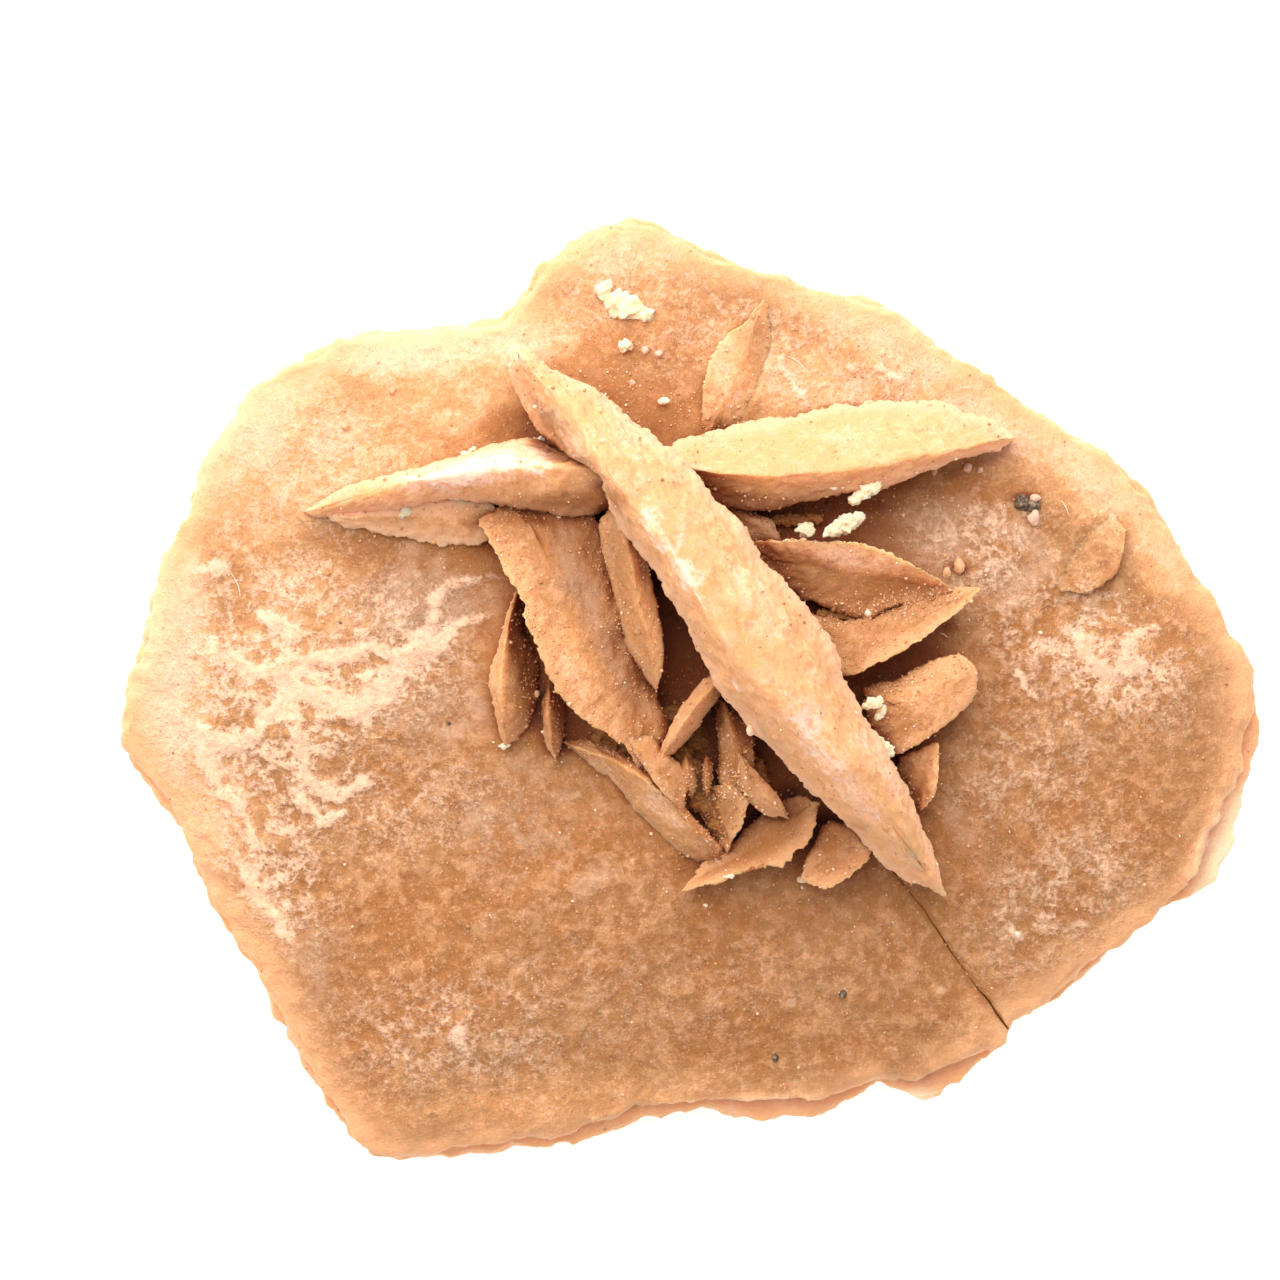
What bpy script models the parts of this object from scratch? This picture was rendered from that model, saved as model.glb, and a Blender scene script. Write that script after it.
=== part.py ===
"""Gypsum sand rose: a large, flat lens crystal with smaller crystals grown through it.

All of it is one piece of stone, so all of it is one solid.  The model stands on +Z up, rests on the
worn ridges of its underside, and has its origin at the bottom centre of its box.
Run with: blender --background --python part.py
"""
import math
from collections import namedtuple

import bmesh
import bpy
from mathutils import Vector, noise

MM = 0.001

# ---- driving dimensions, in millimetres ------------------------------------------------------

NODE_NAME = "sand_rose"
STONE_COLOUR = (0.60, 0.34, 0.17, 1.0)
STONE_ROUGHNESS = 0.75

# Outline of the plate crystal seen from above, clockwise from its highest point.  Each row is
# x, y and how far the upper growth layer stands back from the lower one at that point.
PLATE_OUTLINE = (
    (-3.1, 24.9, 0.1), (-1.8, 24.6, 0.1), (0.6, 23.2, 0.1), (3.7, 22.3, 0.1),
    (8.5, 20.6, 0.1), (10.1, 20.2, 0.1), (13.7, 17.9, 0.1), (17.9, 14.8, 0.1),
    (22.2, 12.4, 0.1), (23.9, 10.7, 0.1), (26.0, 7.5, 0.1), (28.0, 4.6, 0.1),
    (29.5, 1.8, 0.1), (29.9, -1.4, 0.1), (29.6, -4.7, 0.8), (28.9, -7.5, 1.2),
    (27.6, -10.0, 1.1), (26.3, -11.0, 0.7), (24.2, -12.1, 0.1), (21.6, -14.1, 0.1),
    (19.5, -16.0, 0.1), (17.0, -17.5, 0.1), (16.6, -18.8, 0.1), (14.3, -20.2, 0.6),
    (12.4, -21.6, 1.1), (10.1, -20.7, 0.4), (6.9, -22.4, 0.8), (4.8, -22.6, 1.0),
    (0.6, -22.3, 0.9), (-2.6, -22.8, 0.9), (-6.0, -23.8, 0.7), (-12.0, -24.4, 0.4),
    (-15.2, -24.9, 0.1), (-16.9, -24.4, 0.1), (-18.6, -22.4, 0.1), (-20.8, -18.8, 0.1),
    (-23.0, -14.4, 0.1), (-25.4, -10.6, 0.1), (-26.7, -7.4, 0.1), (-28.3, -5.0, 0.1),
    (-29.6, -3.4, 0.1), (-29.9, -1.9, 0.1), (-29.5, 0.6, 0.1), (-28.6, 3.7, 0.1),
    (-27.8, 7.2, 0.1), (-26.2, 10.0, 0.1), (-25.4, 12.7, 0.1), (-23.0, 16.1, 0.1),
    (-20.4, 17.4, 0.1), (-17.8, 18.7, 0.1), (-12.3, 19.3, 0.1), (-9.9, 19.5, 0.1),
    (-8.9, 20.6, 0.1), (-7.6, 22.4, 0.1), (-5.5, 23.9, 0.1), (-4.1, 24.7, 0.1),
)
PLATE_CROWN = 8.2        # height of the upper face at the middle
PLATE_RIM_TOP = 5.0      # height of the upper layer's edge
LEDGE_TOP = 3.9          # height of the step between the two growth layers
PLATE_RIM_LOW = 2.9      # height of the lower layer's edge
PLATE_BELLY = 0.7        # height of the underside at the middle
FACE_SWELL = 0.25        # gentle unevenness of the two broad faces
SWELL_SIZE = 9.0         # distance between two swells
UPPER_SWELLS = 0.0       # which swells the upper face has
LOWER_SWELLS = 40.0      # and the lower one

# Rings of the plate's two faces, as shares of the outline, and of its rim: share, height, and
# whether the ring belongs to the upper growth layer.
UPPER_FACE_RINGS = (0.3, 0.55, 0.76, 0.92)
LOWER_FACE_RINGS = (0.88, 0.68, 0.4)
RIM_RINGS = (
    (1.0, PLATE_RIM_TOP, True), (0.995, LEDGE_TOP, True), (0.99, LEDGE_TOP - 0.1, False),
    (1.0, LEDGE_TOP - 0.4, False), (0.995, PLATE_RIM_LOW, False),
)

# A crystal drawn by its edges: the two tips of its rim, the two sides of the rim between them, the
# ridge along its upper face and the height of its root (keel).  Over and under say how its upper
# and lower faces curve from the middle to the rim: 1 is straight, more bulges, less is hollow.
Crystal = namedtuple("Crystal", "name start end left right ridge keel over under")

CLUSTER = (
    Crystal("long_blade", start=(-9.0, 18.2, 9.8), end=(13.5, -10.8, 8.4),
            left=((-9.6, 18.0, 9.5), (-9.5, 17.0, 9.3), (-8.9, 15.5, 9.4), (-8.1, 13.8, 9.8),
                  (-6.8, 12.4, 11.0), (-4.8, 11.1, 12.3), (-3.5, 8.3, 13.0), (-1.9, 6.4, 13.4),
                  (-0.6, 4.1, 13.7), (0.4, 1.9, 13.8), (1.8, -0.2, 13.6), (3.5, -2.2, 13.2),
                  (5.3, -4.4, 12.4), (7.7, -6.6, 11.0), (8.9, -7.7, 10.3), (10.0, -9.1, 9.3),
                  (11.3, -9.9, 8.7)),
            right=((-8.3, 18.1, 10.0), (-8.0, 17.5, 10.3), (-6.5, 16.5, 11.0), (-4.9, 15.6, 11.6),
                   (-3.3, 14.4, 12.2), (-1.5, 13.2, 12.8), (0.6, 11.0, 13.3), (2.7, 8.7, 13.6),
                   (3.7, 6.8, 13.8), (4.9, 5.8, 13.7), (6.0, 4.8, 13.5), (6.8, 3.7, 13.3),
                   (7.5, 2.4, 13.1), (7.9, 0.8, 12.9), (8.8, -0.5, 12.5), (9.8, -2.3, 12.0),
                   (10.7, -3.6, 11.4), (11.5, -5.5, 10.6), (12.1, -6.8, 10.0), (12.7, -8.3, 9.4),
                   (13.2, -9.7, 8.9)),
            ridge=((-8.9, 17.3, 11.4), (-7.6, 16.1, 13.0), (-6.2, 14.8, 14.3), (-5.2, 13.2, 15.4),
                   (-4.3, 11.3, 16.4), (-2.0, 8.5, 17.5), (0.0, 5.8, 18.2), (2.4, 1.9, 18.6),
                   (5.0, -1.3, 18.1), (7.7, -3.7, 16.6), (10.3, -6.7, 13.4), (12.0, -9.0, 10.6)),
            keel=4.0, over=1.7, under=0.9),
    Crystal("cross_left", start=(-20.5, 9.4, 6.5), end=(-2.6, 11.1, 11.5),
            left=((-18.8, 10.3, 7.0), (-17.0, 11.1, 7.6), (-14.6, 11.6, 8.3), (-12.5, 12.3, 8.5),
                  (-10.4, 13.0, 8.7), (-8.3, 13.4, 9.0), (-6.7, 12.7, 10.0), (-4.7, 12.4, 11.0)),
            right=((-19.6, 8.9, 6.5), (-18.1, 9.1, 6.9), (-16.2, 9.4, 7.8), (-14.6, 9.5, 8.4),
                   (-13.1, 9.9, 8.9), (-10.7, 9.9, 9.4), (-8.9, 9.4, 9.6), (-6.8, 9.1, 9.8),
                   (-4.4, 9.1, 10.0)),
            ridge=((-19.1, 9.6, 7.5), (-16.7, 10.4, 9.0), (-14.1, 11.0, 10.6), (-11.5, 11.4, 11.8),
                   (-8.9, 11.7, 12.6), (-6.2, 11.6, 13.1), (-3.6, 11.3, 13.4)),
            keel=4.0, over=1.7, under=0.9),
    Crystal("cross_skirt", start=(-19.1, 9.2, 7.0), end=(-8.9, 8.5, 8.8),
            left=((-16.7, 9.7, 8.0), (-13.6, 10.0, 8.6), (-10.4, 10.2, 9.0)),
            right=((-17.8, 8.5, 7.1), (-15.7, 8.0, 7.4), (-13.6, 7.7, 7.6), (-11.0, 7.4, 7.9)),
            ridge=((-17.8, 9.1, 7.6), (-15.2, 9.1, 8.1), (-12.5, 9.0, 8.5), (-10.2, 8.7, 8.7)),
            keel=5.0, over=1.2, under=1.0),
    Crystal("cross_right", start=(-1.8, 12.0, 11.5), end=(17.3, 13.3, 7.0),
            left=((-0.5, 13.3, 9.5), (1.6, 13.7, 8.6), (4.5, 14.4, 8.0), (6.9, 15.0, 7.7),
                  (10.0, 15.3, 7.4), (13.2, 15.2, 7.0), (15.8, 14.3, 6.9)),
            right=((0.1, 10.8, 10.9), (1.0, 10.0, 10.5), (2.6, 9.4, 10.2), (4.3, 9.4, 10.1),
                   (5.8, 9.9, 10.1), (7.9, 10.2, 10.0), (10.0, 10.4, 9.7), (12.1, 11.3, 9.1),
                   (14.2, 12.1, 8.4), (16.3, 12.6, 7.5)),
            ridge=((-0.9, 11.7, 12.2), (1.6, 11.3, 12.2), (4.8, 11.2, 12.1), (7.4, 11.4, 11.7),
                   (10.0, 11.8, 11.0), (12.7, 12.3, 10.1), (15.0, 12.9, 9.0), (16.5, 13.2, 8.0)),
            keel=4.0, over=1.15, under=0.7),
    Crystal("shelf", start=(1.2, 10.4, 9.4), end=(4.8, 7.9, 9.0),
            left=((2.9, 9.5, 9.3), (4.4, 9.1, 9.2)),
            right=((2.0, 9.0, 9.4), (2.9, 7.6, 9.3)),
            ridge=((2.6, 9.2, 9.7), (3.7, 8.5, 9.4)),
            keel=6.0, over=1.3, under=0.8),
    Crystal("tongue", start=(-9.9, 10.0, 9.0), end=(-2.3, -4.5, 10.0),
            left=((-11.1, 9.0, 9.4), (-10.5, 7.7, 10.4), (-9.7, 6.1, 11.0), (-9.0, 4.9, 11.4),
                  (-8.6, 3.3, 11.7), (-7.8, 1.9, 11.8), (-6.9, 0.1, 11.7), (-5.7, -1.5, 11.4),
                  (-4.1, -2.4, 11.0), (-3.1, -3.2, 10.6)),
            right=((-6.8, 10.0, 9.2), (-4.7, 9.4, 9.6), (-3.2, 6.9, 9.7), (-2.5, 4.0, 9.7),
                   (-2.2, 1.9, 9.6), (-1.6, -0.2, 9.6), (-1.1, -2.3, 9.8), (-1.3, -3.7, 9.8)),
            ridge=((-8.3, 8.7, 10.3), (-7.2, 6.4, 10.8), (-6.0, 3.7, 11.1), (-4.8, 1.4, 11.1),
                   (-3.6, -1.1, 10.9), (-2.6, -3.0, 10.5)),
            keel=6.0, over=1.0, under=0.55),
    Crystal("narrow_petal", start=(-3.7, 10.0, 11.6), end=(-1.7, -0.1, 10.9),
            left=((-4.8, 9.0, 11.0), (-4.6, 7.4, 10.9), (-4.1, 5.6, 10.7), (-3.7, 3.7, 10.6),
                  (-3.2, 2.3, 10.5), (-2.5, 0.8, 10.4)),
            right=((-2.3, 7.7, 12.4), (-2.0, 6.4, 12.4), (-1.7, 4.8, 12.3), (-1.4, 3.3, 12.2),
                   (-1.2, 2.3, 12.0), (-1.4, 0.8, 11.5)),
            ridge=((-3.4, 8.5, 12.7), (-2.9, 6.1, 12.9), (-2.5, 4.0, 12.7), (-2.0, 2.2, 12.2),
                   (-1.8, 0.8, 11.5)),
            keel=7.0, over=1.2, under=0.6),
    Crystal("left_crescent", start=(-8.9, 5.7, 8.6), end=(-9.6, -3.0, 8.0),
            left=((-9.7, 3.5, 8.8), (-10.2, 1.9, 8.9), (-10.6, 0.3, 8.9), (-10.3, -1.1, 8.6),
                  (-10.0, -2.5, 8.2)),
            right=((-8.6, 3.3, 8.4), (-7.9, 1.6, 8.4), (-7.8, -0.2, 8.3), (-8.1, -1.8, 8.2),
                   (-8.9, -2.7, 8.1)),
            ridge=((-9.2, 4.5, 9.8), (-9.6, 2.7, 10.7), (-9.8, 0.8, 10.9), (-9.8, -0.7, 10.5),
                   (-9.6, -2.2, 9.2)),
            keel=5.0, over=1.3, under=0.8),
    Crystal("left_sliver", start=(-7.4, 0.6, 8.6), end=(-6.9, -3.8, 8.2),
            left=((-7.7, -0.6, 8.6), (-7.8, -1.6, 8.6), (-7.7, -2.7, 8.5), (-7.3, -3.4, 8.3)),
            right=((-6.7, 0.2, 8.5), (-6.4, -0.7, 8.5), (-6.4, -1.8, 8.4), (-6.5, -2.8, 8.3)),
            ridge=((-7.3, -0.1, 9.6), (-7.4, -1.1, 10.2), (-7.3, -2.3, 10.0), (-7.0, -3.3, 9.0)),
            keel=5.5, over=1.2, under=0.8),
    Crystal("wedge", start=(-6.7, -2.6, 8.2), end=(1.8, -9.0, 8.3),
            left=((-5.8, -3.4, 7.8), (-4.4, -4.8, 7.6), (-3.3, -6.0, 7.6), (-2.0, -7.5, 7.6),
                  (-0.7, -8.5, 7.6), (0.7, -9.1, 7.8)),
            right=((-5.2, -2.5, 8.8), (-3.7, -3.0, 9.4), (-2.2, -3.8, 10.0), (-0.7, -5.2, 10.0),
                   (0.6, -6.9, 9.6), (1.7, -8.2, 9.0)),
            ridge=((-6.0, -2.9, 9.0), (-4.0, -3.6, 10.0), (-2.4, -4.5, 10.9), (-1.1, -5.7, 10.9),
                   (0.2, -7.2, 10.4), (1.4, -8.5, 9.6)),
            keel=5.5, over=1.0, under=0.8),
    Crystal("saddle", start=(-3.5, -2.2, 10.7), end=(-0.3, -6.4, 10.2),
            left=((-2.6, -3.7, 10.7), (-1.8, -4.8, 10.9), (-1.1, -5.7, 10.8)),
            right=((-1.9, -2.3, 10.2), (-1.1, -3.2, 10.3), (-0.3, -4.0, 10.3), (0.1, -5.2, 10.2)),
            ridge=((-2.7, -3.0, 11.0), (-1.8, -4.0, 11.1), (-0.9, -5.1, 11.0)),
            keel=7.0, over=1.2, under=0.7),
    Crystal("slim_blade", start=(2.0, 1.2, 12.6), end=(-1.5, -3.5, 10.2),
            left=((0.7, 0.7, 11.8), (-0.3, -0.6, 11.4), (-1.1, -1.8, 11.0), (-1.5, -2.8, 10.7)),
            right=((1.7, -0.3, 11.4), (1.0, -1.1, 11.2), (0.2, -2.1, 10.9), (-0.8, -3.3, 10.3)),
            ridge=((1.4, 0.4, 13.0), (0.4, -0.6, 12.7), (-0.5, -1.9, 12.1), (-1.2, -3.1, 11.0)),
            keel=6.5, over=1.2, under=0.8),
    Crystal("column", start=(1.2, 0.1, 10.0), end=(2.4, -5.7, 9.9),
            left=((1.5, -1.5, 9.7), (1.5, -3.0, 9.8), (1.4, -4.4, 9.8), (1.7, -5.3, 9.8)),
            right=((2.4, -0.5, 10.0), (3.3, -2.0, 10.1), (3.5, -3.6, 10.4), (3.3, -4.9, 10.4)),
            ridge=((1.9, -0.7, 10.7), (2.3, -2.6, 10.8), (2.4, -4.4, 10.6)),
            keel=6.5, over=1.5, under=0.7),
    Crystal("wedge_wall", start=(0.1, -5.2, 8.8), end=(2.0, -8.6, 9.1),
            left=((0.4, -6.0, 8.5), (0.9, -6.9, 8.5), (1.5, -8.0, 8.7)),
            right=((1.6, -4.7, 10.1), (3.1, -5.5, 10.6), (2.8, -6.8, 10.3), (2.4, -7.7, 9.8)),
            ridge=((1.2, -5.6, 9.2), (1.7, -6.5, 9.3), (2.0, -7.6, 9.3)),
            keel=6.5, over=1.0, under=0.6),
    Crystal("pointed_crystal", start=(2.6, -3.2, 10.8), end=(5.2, -6.7, 9.9),
            left=((3.3, -3.9, 11.0), (4.0, -4.7, 10.9), (4.7, -5.5, 10.6), (5.0, -6.1, 10.2)),
            right=((2.4, -4.4, 10.5), (3.0, -5.7, 10.3), (3.6, -6.3, 10.0), (4.5, -6.7, 9.8),
                   (4.7, -6.4, 9.8)),
            ridge=((3.1, -4.4, 11.2), (3.8, -5.4, 11.0), (4.6, -6.0, 10.5)),
            keel=7.0, over=1.2, under=0.7),
    Crystal("inner_tooth", start=(-0.2, -3.4, 10.2), end=(0.1, -5.6, 9.7),
            left=((0.4, -3.9, 10.2), (0.4, -5.0, 10.0)),
            right=((-0.6, -4.1, 10.1), (-0.4, -5.1, 9.9)),
            ridge=((-0.1, -4.0, 10.8), (0.1, -4.9, 10.4)),
            keel=8.0, over=1.3, under=0.8),
    Crystal("inner_spike", start=(0.9, -3.4, 10.2), end=(0.9, -5.6, 9.8),
            left=((1.3, -3.9, 10.2), (1.2, -4.8, 10.0)),
            right=((0.6, -3.9, 10.2), (0.7, -4.9, 10.0)),
            ridge=((0.9, -3.9, 10.8), (0.9, -4.9, 10.4)),
            keel=8.0, over=1.3, under=0.8),
    Crystal("scallop_near", start=(-0.3, -10.4, 8.6), end=(6.9, -5.8, 9.4),
            left=((0.4, -10.3, 9.1), (1.1, -9.9, 9.5), (2.4, -9.7, 9.8), (3.7, -9.4, 9.9),
                  (4.7, -9.2, 9.9), (5.3, -8.7, 9.9), (5.9, -8.3, 9.8), (6.3, -7.7, 9.7),
                  (6.7, -7.0, 9.6)),
            right=((0.6, -9.3, 8.5), (1.7, -8.3, 8.6), (2.9, -6.9, 8.6), (4.5, -5.7, 8.7),
                   (5.8, -5.2, 8.8)),
            ridge=((0.8, -9.6, 8.8), (2.4, -8.8, 8.9), (4.0, -7.9, 9.0), (5.3, -6.9, 9.0),
                   (6.1, -6.0, 9.1)),
            keel=6.5, over=1.4, under=0.6),
    Crystal("scallop_far", start=(5.8, -9.8, 9.0), end=(9.6, -8.3, 9.4),
            left=((6.5, -10.3, 9.3), (7.2, -10.4, 9.5), (8.0, -10.1, 9.6), (8.6, -9.8, 9.6),
                  (9.2, -9.2, 9.5)),
            right=((6.0, -8.5, 8.7), (6.6, -7.4, 8.5), (7.3, -6.5, 8.5), (8.5, -7.0, 8.7)),
            ridge=((6.6, -9.2, 8.9), (7.4, -8.6, 9.0), (8.5, -8.1, 9.1)),
            keel=6.5, over=1.4, under=0.6),
    Crystal("upper_leaf", start=(2.9, 7.7, 10.5), end=(14.0, 5.2, 9.6),
            left=((4.3, 7.9, 11.2), (5.8, 8.0, 11.4), (7.7, 8.0, 11.4), (9.1, 7.7, 11.3),
                  (10.4, 7.1, 11.2), (11.9, 6.6, 10.9), (13.1, 6.0, 10.4)),
            right=((4.3, 5.6, 9.6), (5.8, 4.8, 9.2), (7.7, 4.0, 9.0), (9.2, 3.8, 9.0),
                   (10.8, 4.3, 9.0), (12.5, 4.8, 9.1)),
            ridge=((4.4, 6.9, 10.5), (6.6, 6.5, 10.1), (8.7, 6.0, 9.9), (10.8, 5.7, 9.7),
                   (12.7, 5.4, 9.6)),
            keel=6.0, over=0.85, under=0.55),
    Crystal("lower_leaf", start=(6.2, 4.0, 9.2), end=(15.2, 5.4, 9.6),
            left=((7.9, 3.8, 9.0), (9.5, 3.9, 9.0), (11.1, 4.5, 9.0), (12.7, 5.0, 9.2),
                  (14.0, 5.4, 9.5)),
            right=((7.1, 1.9, 10.2), (8.2, 0.5, 10.8), (9.4, 1.2, 11.0), (10.6, 1.8, 11.0),
                   (12.1, 2.6, 10.9), (13.4, 3.6, 10.6), (14.5, 4.6, 10.1)),
            ridge=((7.0, 3.2, 9.8), (8.5, 2.5, 10.05), (10.6, 3.1, 10.05), (12.9, 4.2, 9.8)),
            keel=6.0, over=0.9, under=0.55),
    Crystal("right_lobe", start=(9.1, 0.1, 9.4), end=(15.1, 1.0, 9.8),
            left=((10.7, 0.7, 9.4), (12.0, 1.4, 9.6), (13.3, 1.9, 9.8), (14.3, 2.0, 9.8)),
            right=((9.4, -2.0, 9.8), (10.7, -3.4, 10.0), (11.9, -2.8, 10.2), (13.1, -2.1, 10.2),
                   (14.1, -1.3, 10.1), (14.8, -0.5, 10.0)),
            ridge=((10.6, -0.7, 10.3), (11.9, -0.4, 10.4), (13.2, 0.2, 10.4), (14.2, 0.6, 10.2)),
            keel=6.0, over=1.5, under=0.55),
    Crystal("right_sliver", start=(11.0, -3.4, 8.8), end=(12.1, -6.2, 9.0),
            left=((10.9, -4.0, 8.5), (11.2, -4.9, 8.4), (11.7, -5.6, 8.6)),
            right=((13.1, -2.5, 9.6), (13.0, -3.6, 9.7), (12.9, -4.6, 9.7), (12.7, -5.6, 9.4)),
            ridge=((11.7, -3.7, 9.0), (12.0, -4.6, 9.0), (12.2, -5.5, 9.1)),
            keel=6.0, over=1.2, under=0.6),
    Crystal("lone_petal", start=(0.7, 13.1, 7.3), end=(3.9, 20.5, 6.3),
            left=((0.6, 14.5, 7.7), (0.7, 16.1, 7.8), (1.2, 17.7, 7.5), (1.8, 18.6, 7.2),
                  (2.8, 19.4, 6.8)),
            right=((2.0, 13.2, 7.1), (2.9, 14.2, 6.9), (3.8, 15.8, 6.5), (4.4, 17.4, 6.1),
                   (4.5, 19.1, 5.9)),
            ridge=((1.4, 14.2, 7.7), (2.0, 15.7, 7.7), (2.7, 17.3, 7.3), (3.3, 18.7, 6.9),
                   (3.6, 19.6, 6.6)),
            keel=4.5, over=1.0, under=0.7),
    Crystal("rim_flake", start=(23.1, 8.5, 5.6), end=(19.5, 5.2, 6.6),
            left=((23.0, 7.3, 6.1), (22.4, 6.1, 6.4), (21.6, 5.4, 6.6), (20.7, 5.0, 6.7)),
            right=((22.2, 9.7, 5.2), (20.8, 9.2, 5.5), (19.6, 7.7, 5.9), (19.1, 6.1, 6.2)),
            ridge=((22.5, 8.5, 5.8), (22.0, 7.2, 6.2), (21.1, 6.4, 6.4), (20.1, 5.7, 6.6)),
            keel=4.5, over=1.0, under=0.7),
)
STEP_LENGTH = 1.7        # distance between points along a crystal's rim
FEWEST_STEPS = 6         # steps along one side of a small crystal
MIDDLE_SHARE = 0.55      # where the ring between the ridge and the rim lies

# A lens crystal: the two tips of its long axis, how far its blade stands out above that axis
# (rise) and below it (root), its thickness, its lean from flat (90 is upright, less leans to the
# left of the heading from start to end, more leans to the right), how pointed its tips are
# (0.5 is an ellipse, 1 a sharp vesica) and how far it bows sideways.
Lens = namedtuple("Lens", "name start end rise root thick lean point bow")

# Blades grown through the underside.  Their ridges reach below the resting plane, which has worn
# them flat, so the stone stands on them.
UNDERSIDE = (
    Lens("belly_blade", (-19.0, -9.0, 1.9), (3.0, -12.5, 1.9), 1.0, 3.2, 3.4, 80, 0.6, 0.5),
    Lens("belly_cross", (-13.0, 3.0, 1.9), (1.0, 15.5, 1.9), 1.0, 3.2, 3.0, 100, 0.6, -0.4),
    Lens("belly_wing", (8.0, -9.0, 1.9), (19.0, 8.0, 1.9), 1.0, 3.2, 3.2, 95, 0.6, 0.6),
    Lens("belly_petal", (-6.0, -5.0, 1.2), (7.0, -1.0, 1.2), 1.0, 1.6, 2.4, 60, 0.6, 0.0),
    Lens("belly_leaf", (-2.0, 8.0, 1.4), (7.0, 2.0, 1.4), 1.0, 1.8, 2.2, 120, 0.6, 0.0),
)
LENS_STEPS = 20                  # points round a lens crystal's rim
LENS_RINGS = (1.0, 0.74, 0.42)   # rim, and two rings inside it, as shares of the outline

# Crumbs of sandy gypsum cemented on: x, y, z, then radii along x, y and z.
CRUMBS = (
    (-3.5, 20.3, 5.9, 1.5, 0.9, 0.7), (-4.6, 21.6, 5.6, 0.5, 0.4, 0.4),
    (-3.3, 18.0, 6.3, 0.5, 0.4, 0.4), (-4.7, -9.8, 7.4, 0.9, 0.6, 0.4),
    (9.5, -0.6, 11.2, 0.8, 0.6, 0.9), (10.1, -3.1, 11.2, 0.7, 0.9, 0.9),
    (9.1, 10.0, 9.5, 0.9, 0.9, 0.8), (7.9, 8.8, 9.4, 1.2, 0.7, 0.9),
    (17.7, 10.1, 6.3, 0.7, 0.7, 0.5), (14.3, 6.5, 7.2, 0.5, 0.5, 0.5),
)
KNOBBLE = 0.35           # how knobbly a crumb is, as a share of its radii
KNOBBLE_SIZE = 0.6       # distance between two knobs, as a share of its radii
CRUMB_SPREAD = 3.1       # keeps each crumb's knobs unlike the next one's

# Crack that runs from under the long blade out through the plate's edge: x, y and floor height.
CRACK_PATH = (
    (10.8, -9.0, 6.8), (13.2, -13.3, 5.9), (14.5, -15.4, 5.1), (16.2, -17.1, 4.2), (18.2, -19.2, 3.4),
)
CRACK_TOP = 9.0          # height to which the cut is carried, clear of the plate
CRACK_SLOPE = 0.11       # half the width of the crack one millimetre above its floor

SLAB_WIDTH = 100.0       # slab that wears the underside flat
SLAB_DEPTH = 10.0


# ---- geometry ------------------------------------------------------------------------------

def clear_scene():
    """Remove the objects of the scene the script starts in."""
    for obj in list(bpy.data.objects):
        bpy.data.objects.remove(obj, do_unlink=True)


def new_object(name, points, faces):
    """Make a mesh object, in metres, from points in millimetres; faces are made to point out."""
    mesh = bpy.data.meshes.new(name)
    mesh.from_pydata([point * MM for point in points], [], faces)
    shape = bmesh.new()
    shape.from_mesh(mesh)
    bmesh.ops.recalc_face_normals(shape, faces=shape.faces)
    shape.to_mesh(mesh)
    shape.free()
    obj = bpy.data.objects.new(name, mesh)
    bpy.context.collection.objects.link(obj)
    return obj


def band(low, high, steps):
    """Triangles between two rings of as many points, given the first point of each."""
    faces = []
    for i in range(steps):
        j = (i + 1) % steps
        faces.append((low + i, high + i, high + j))
        faces.append((low + i, high + j, low + j))
    return faces


def loft(name, first_cap, rings, last_cap):
    """Close a stack of rings, each with as many points, with a fan on a point at either end."""
    steps = len(rings[0])
    points = [first_cap]
    for ring in rings:
        points.extend(ring)
    points.append(last_cap)
    faces = []
    last_start = 1 + steps * (len(rings) - 1)
    for i in range(steps):
        j = (i + 1) % steps
        faces.append((0, 1 + i, 1 + j))
        faces.append((len(points) - 1, last_start + j, last_start + i))
    for k in range(len(rings) - 1):
        faces.extend(band(1 + steps * k, 1 + steps * (k + 1), steps))
    return new_object(name, points, faces)


def swell(x, y, seed):
    """Gentle unevenness of a broad crystal face."""
    return FACE_SWELL * noise.noise(Vector((x, y, seed)) / SWELL_SIZE)


def plate_ring(share, height, upper):
    """Ring of the plate: the outline drawn in to a share of its size, at one height."""
    seed = UPPER_SWELLS if upper else LOWER_SWELLS
    ring = []
    for x, y, setback in PLATE_OUTLINE:
        back = setback / math.hypot(x, y) if upper else 0.0
        scale = share * (1.0 - back)
        ring.append(Vector((x * scale, y * scale, height + swell(x * scale, y * scale, seed))))
    return ring


def make_plate():
    """The large lens crystal: a low dome above, two growth layers at the edge, a belly below."""
    rings = []
    for share in UPPER_FACE_RINGS:
        height = PLATE_RIM_TOP + (PLATE_CROWN - PLATE_RIM_TOP) * (1.0 - share ** 2)
        rings.append(plate_ring(share, height, True))
    for share, height, upper in RIM_RINGS:
        rings.append(plate_ring(share, height, upper))
    for share in LOWER_FACE_RINGS:
        height = PLATE_BELLY + (PLATE_RIM_LOW - PLATE_BELLY) * share ** 2
        rings.append(plate_ring(share, height, False))
    crown = Vector((0.0, 0.0, PLATE_CROWN))
    belly = Vector((0.0, 0.0, PLATE_BELLY))
    return loft("plate", crown, rings, belly)


def path_length(rows):
    """Length of an open path."""
    return sum((Vector(b) - Vector(a)).length for a, b in zip(rows[:-1], rows[1:]))


def even_path(rows, steps):
    """Points at even steps along an open path, one more of them than there are steps."""
    points = [Vector(row) for row in rows]
    spacing = path_length(rows) / steps
    even = [points[0]]
    travelled = 0.0
    for here, there in zip(points[:-1], points[1:]):
        length = (there - here).length
        while len(even) < steps and travelled + length >= spacing * len(even):
            even.append(here.lerp(there, (spacing * len(even) - travelled) / length))
        travelled += length
    even.append(points[-1])
    return even


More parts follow.
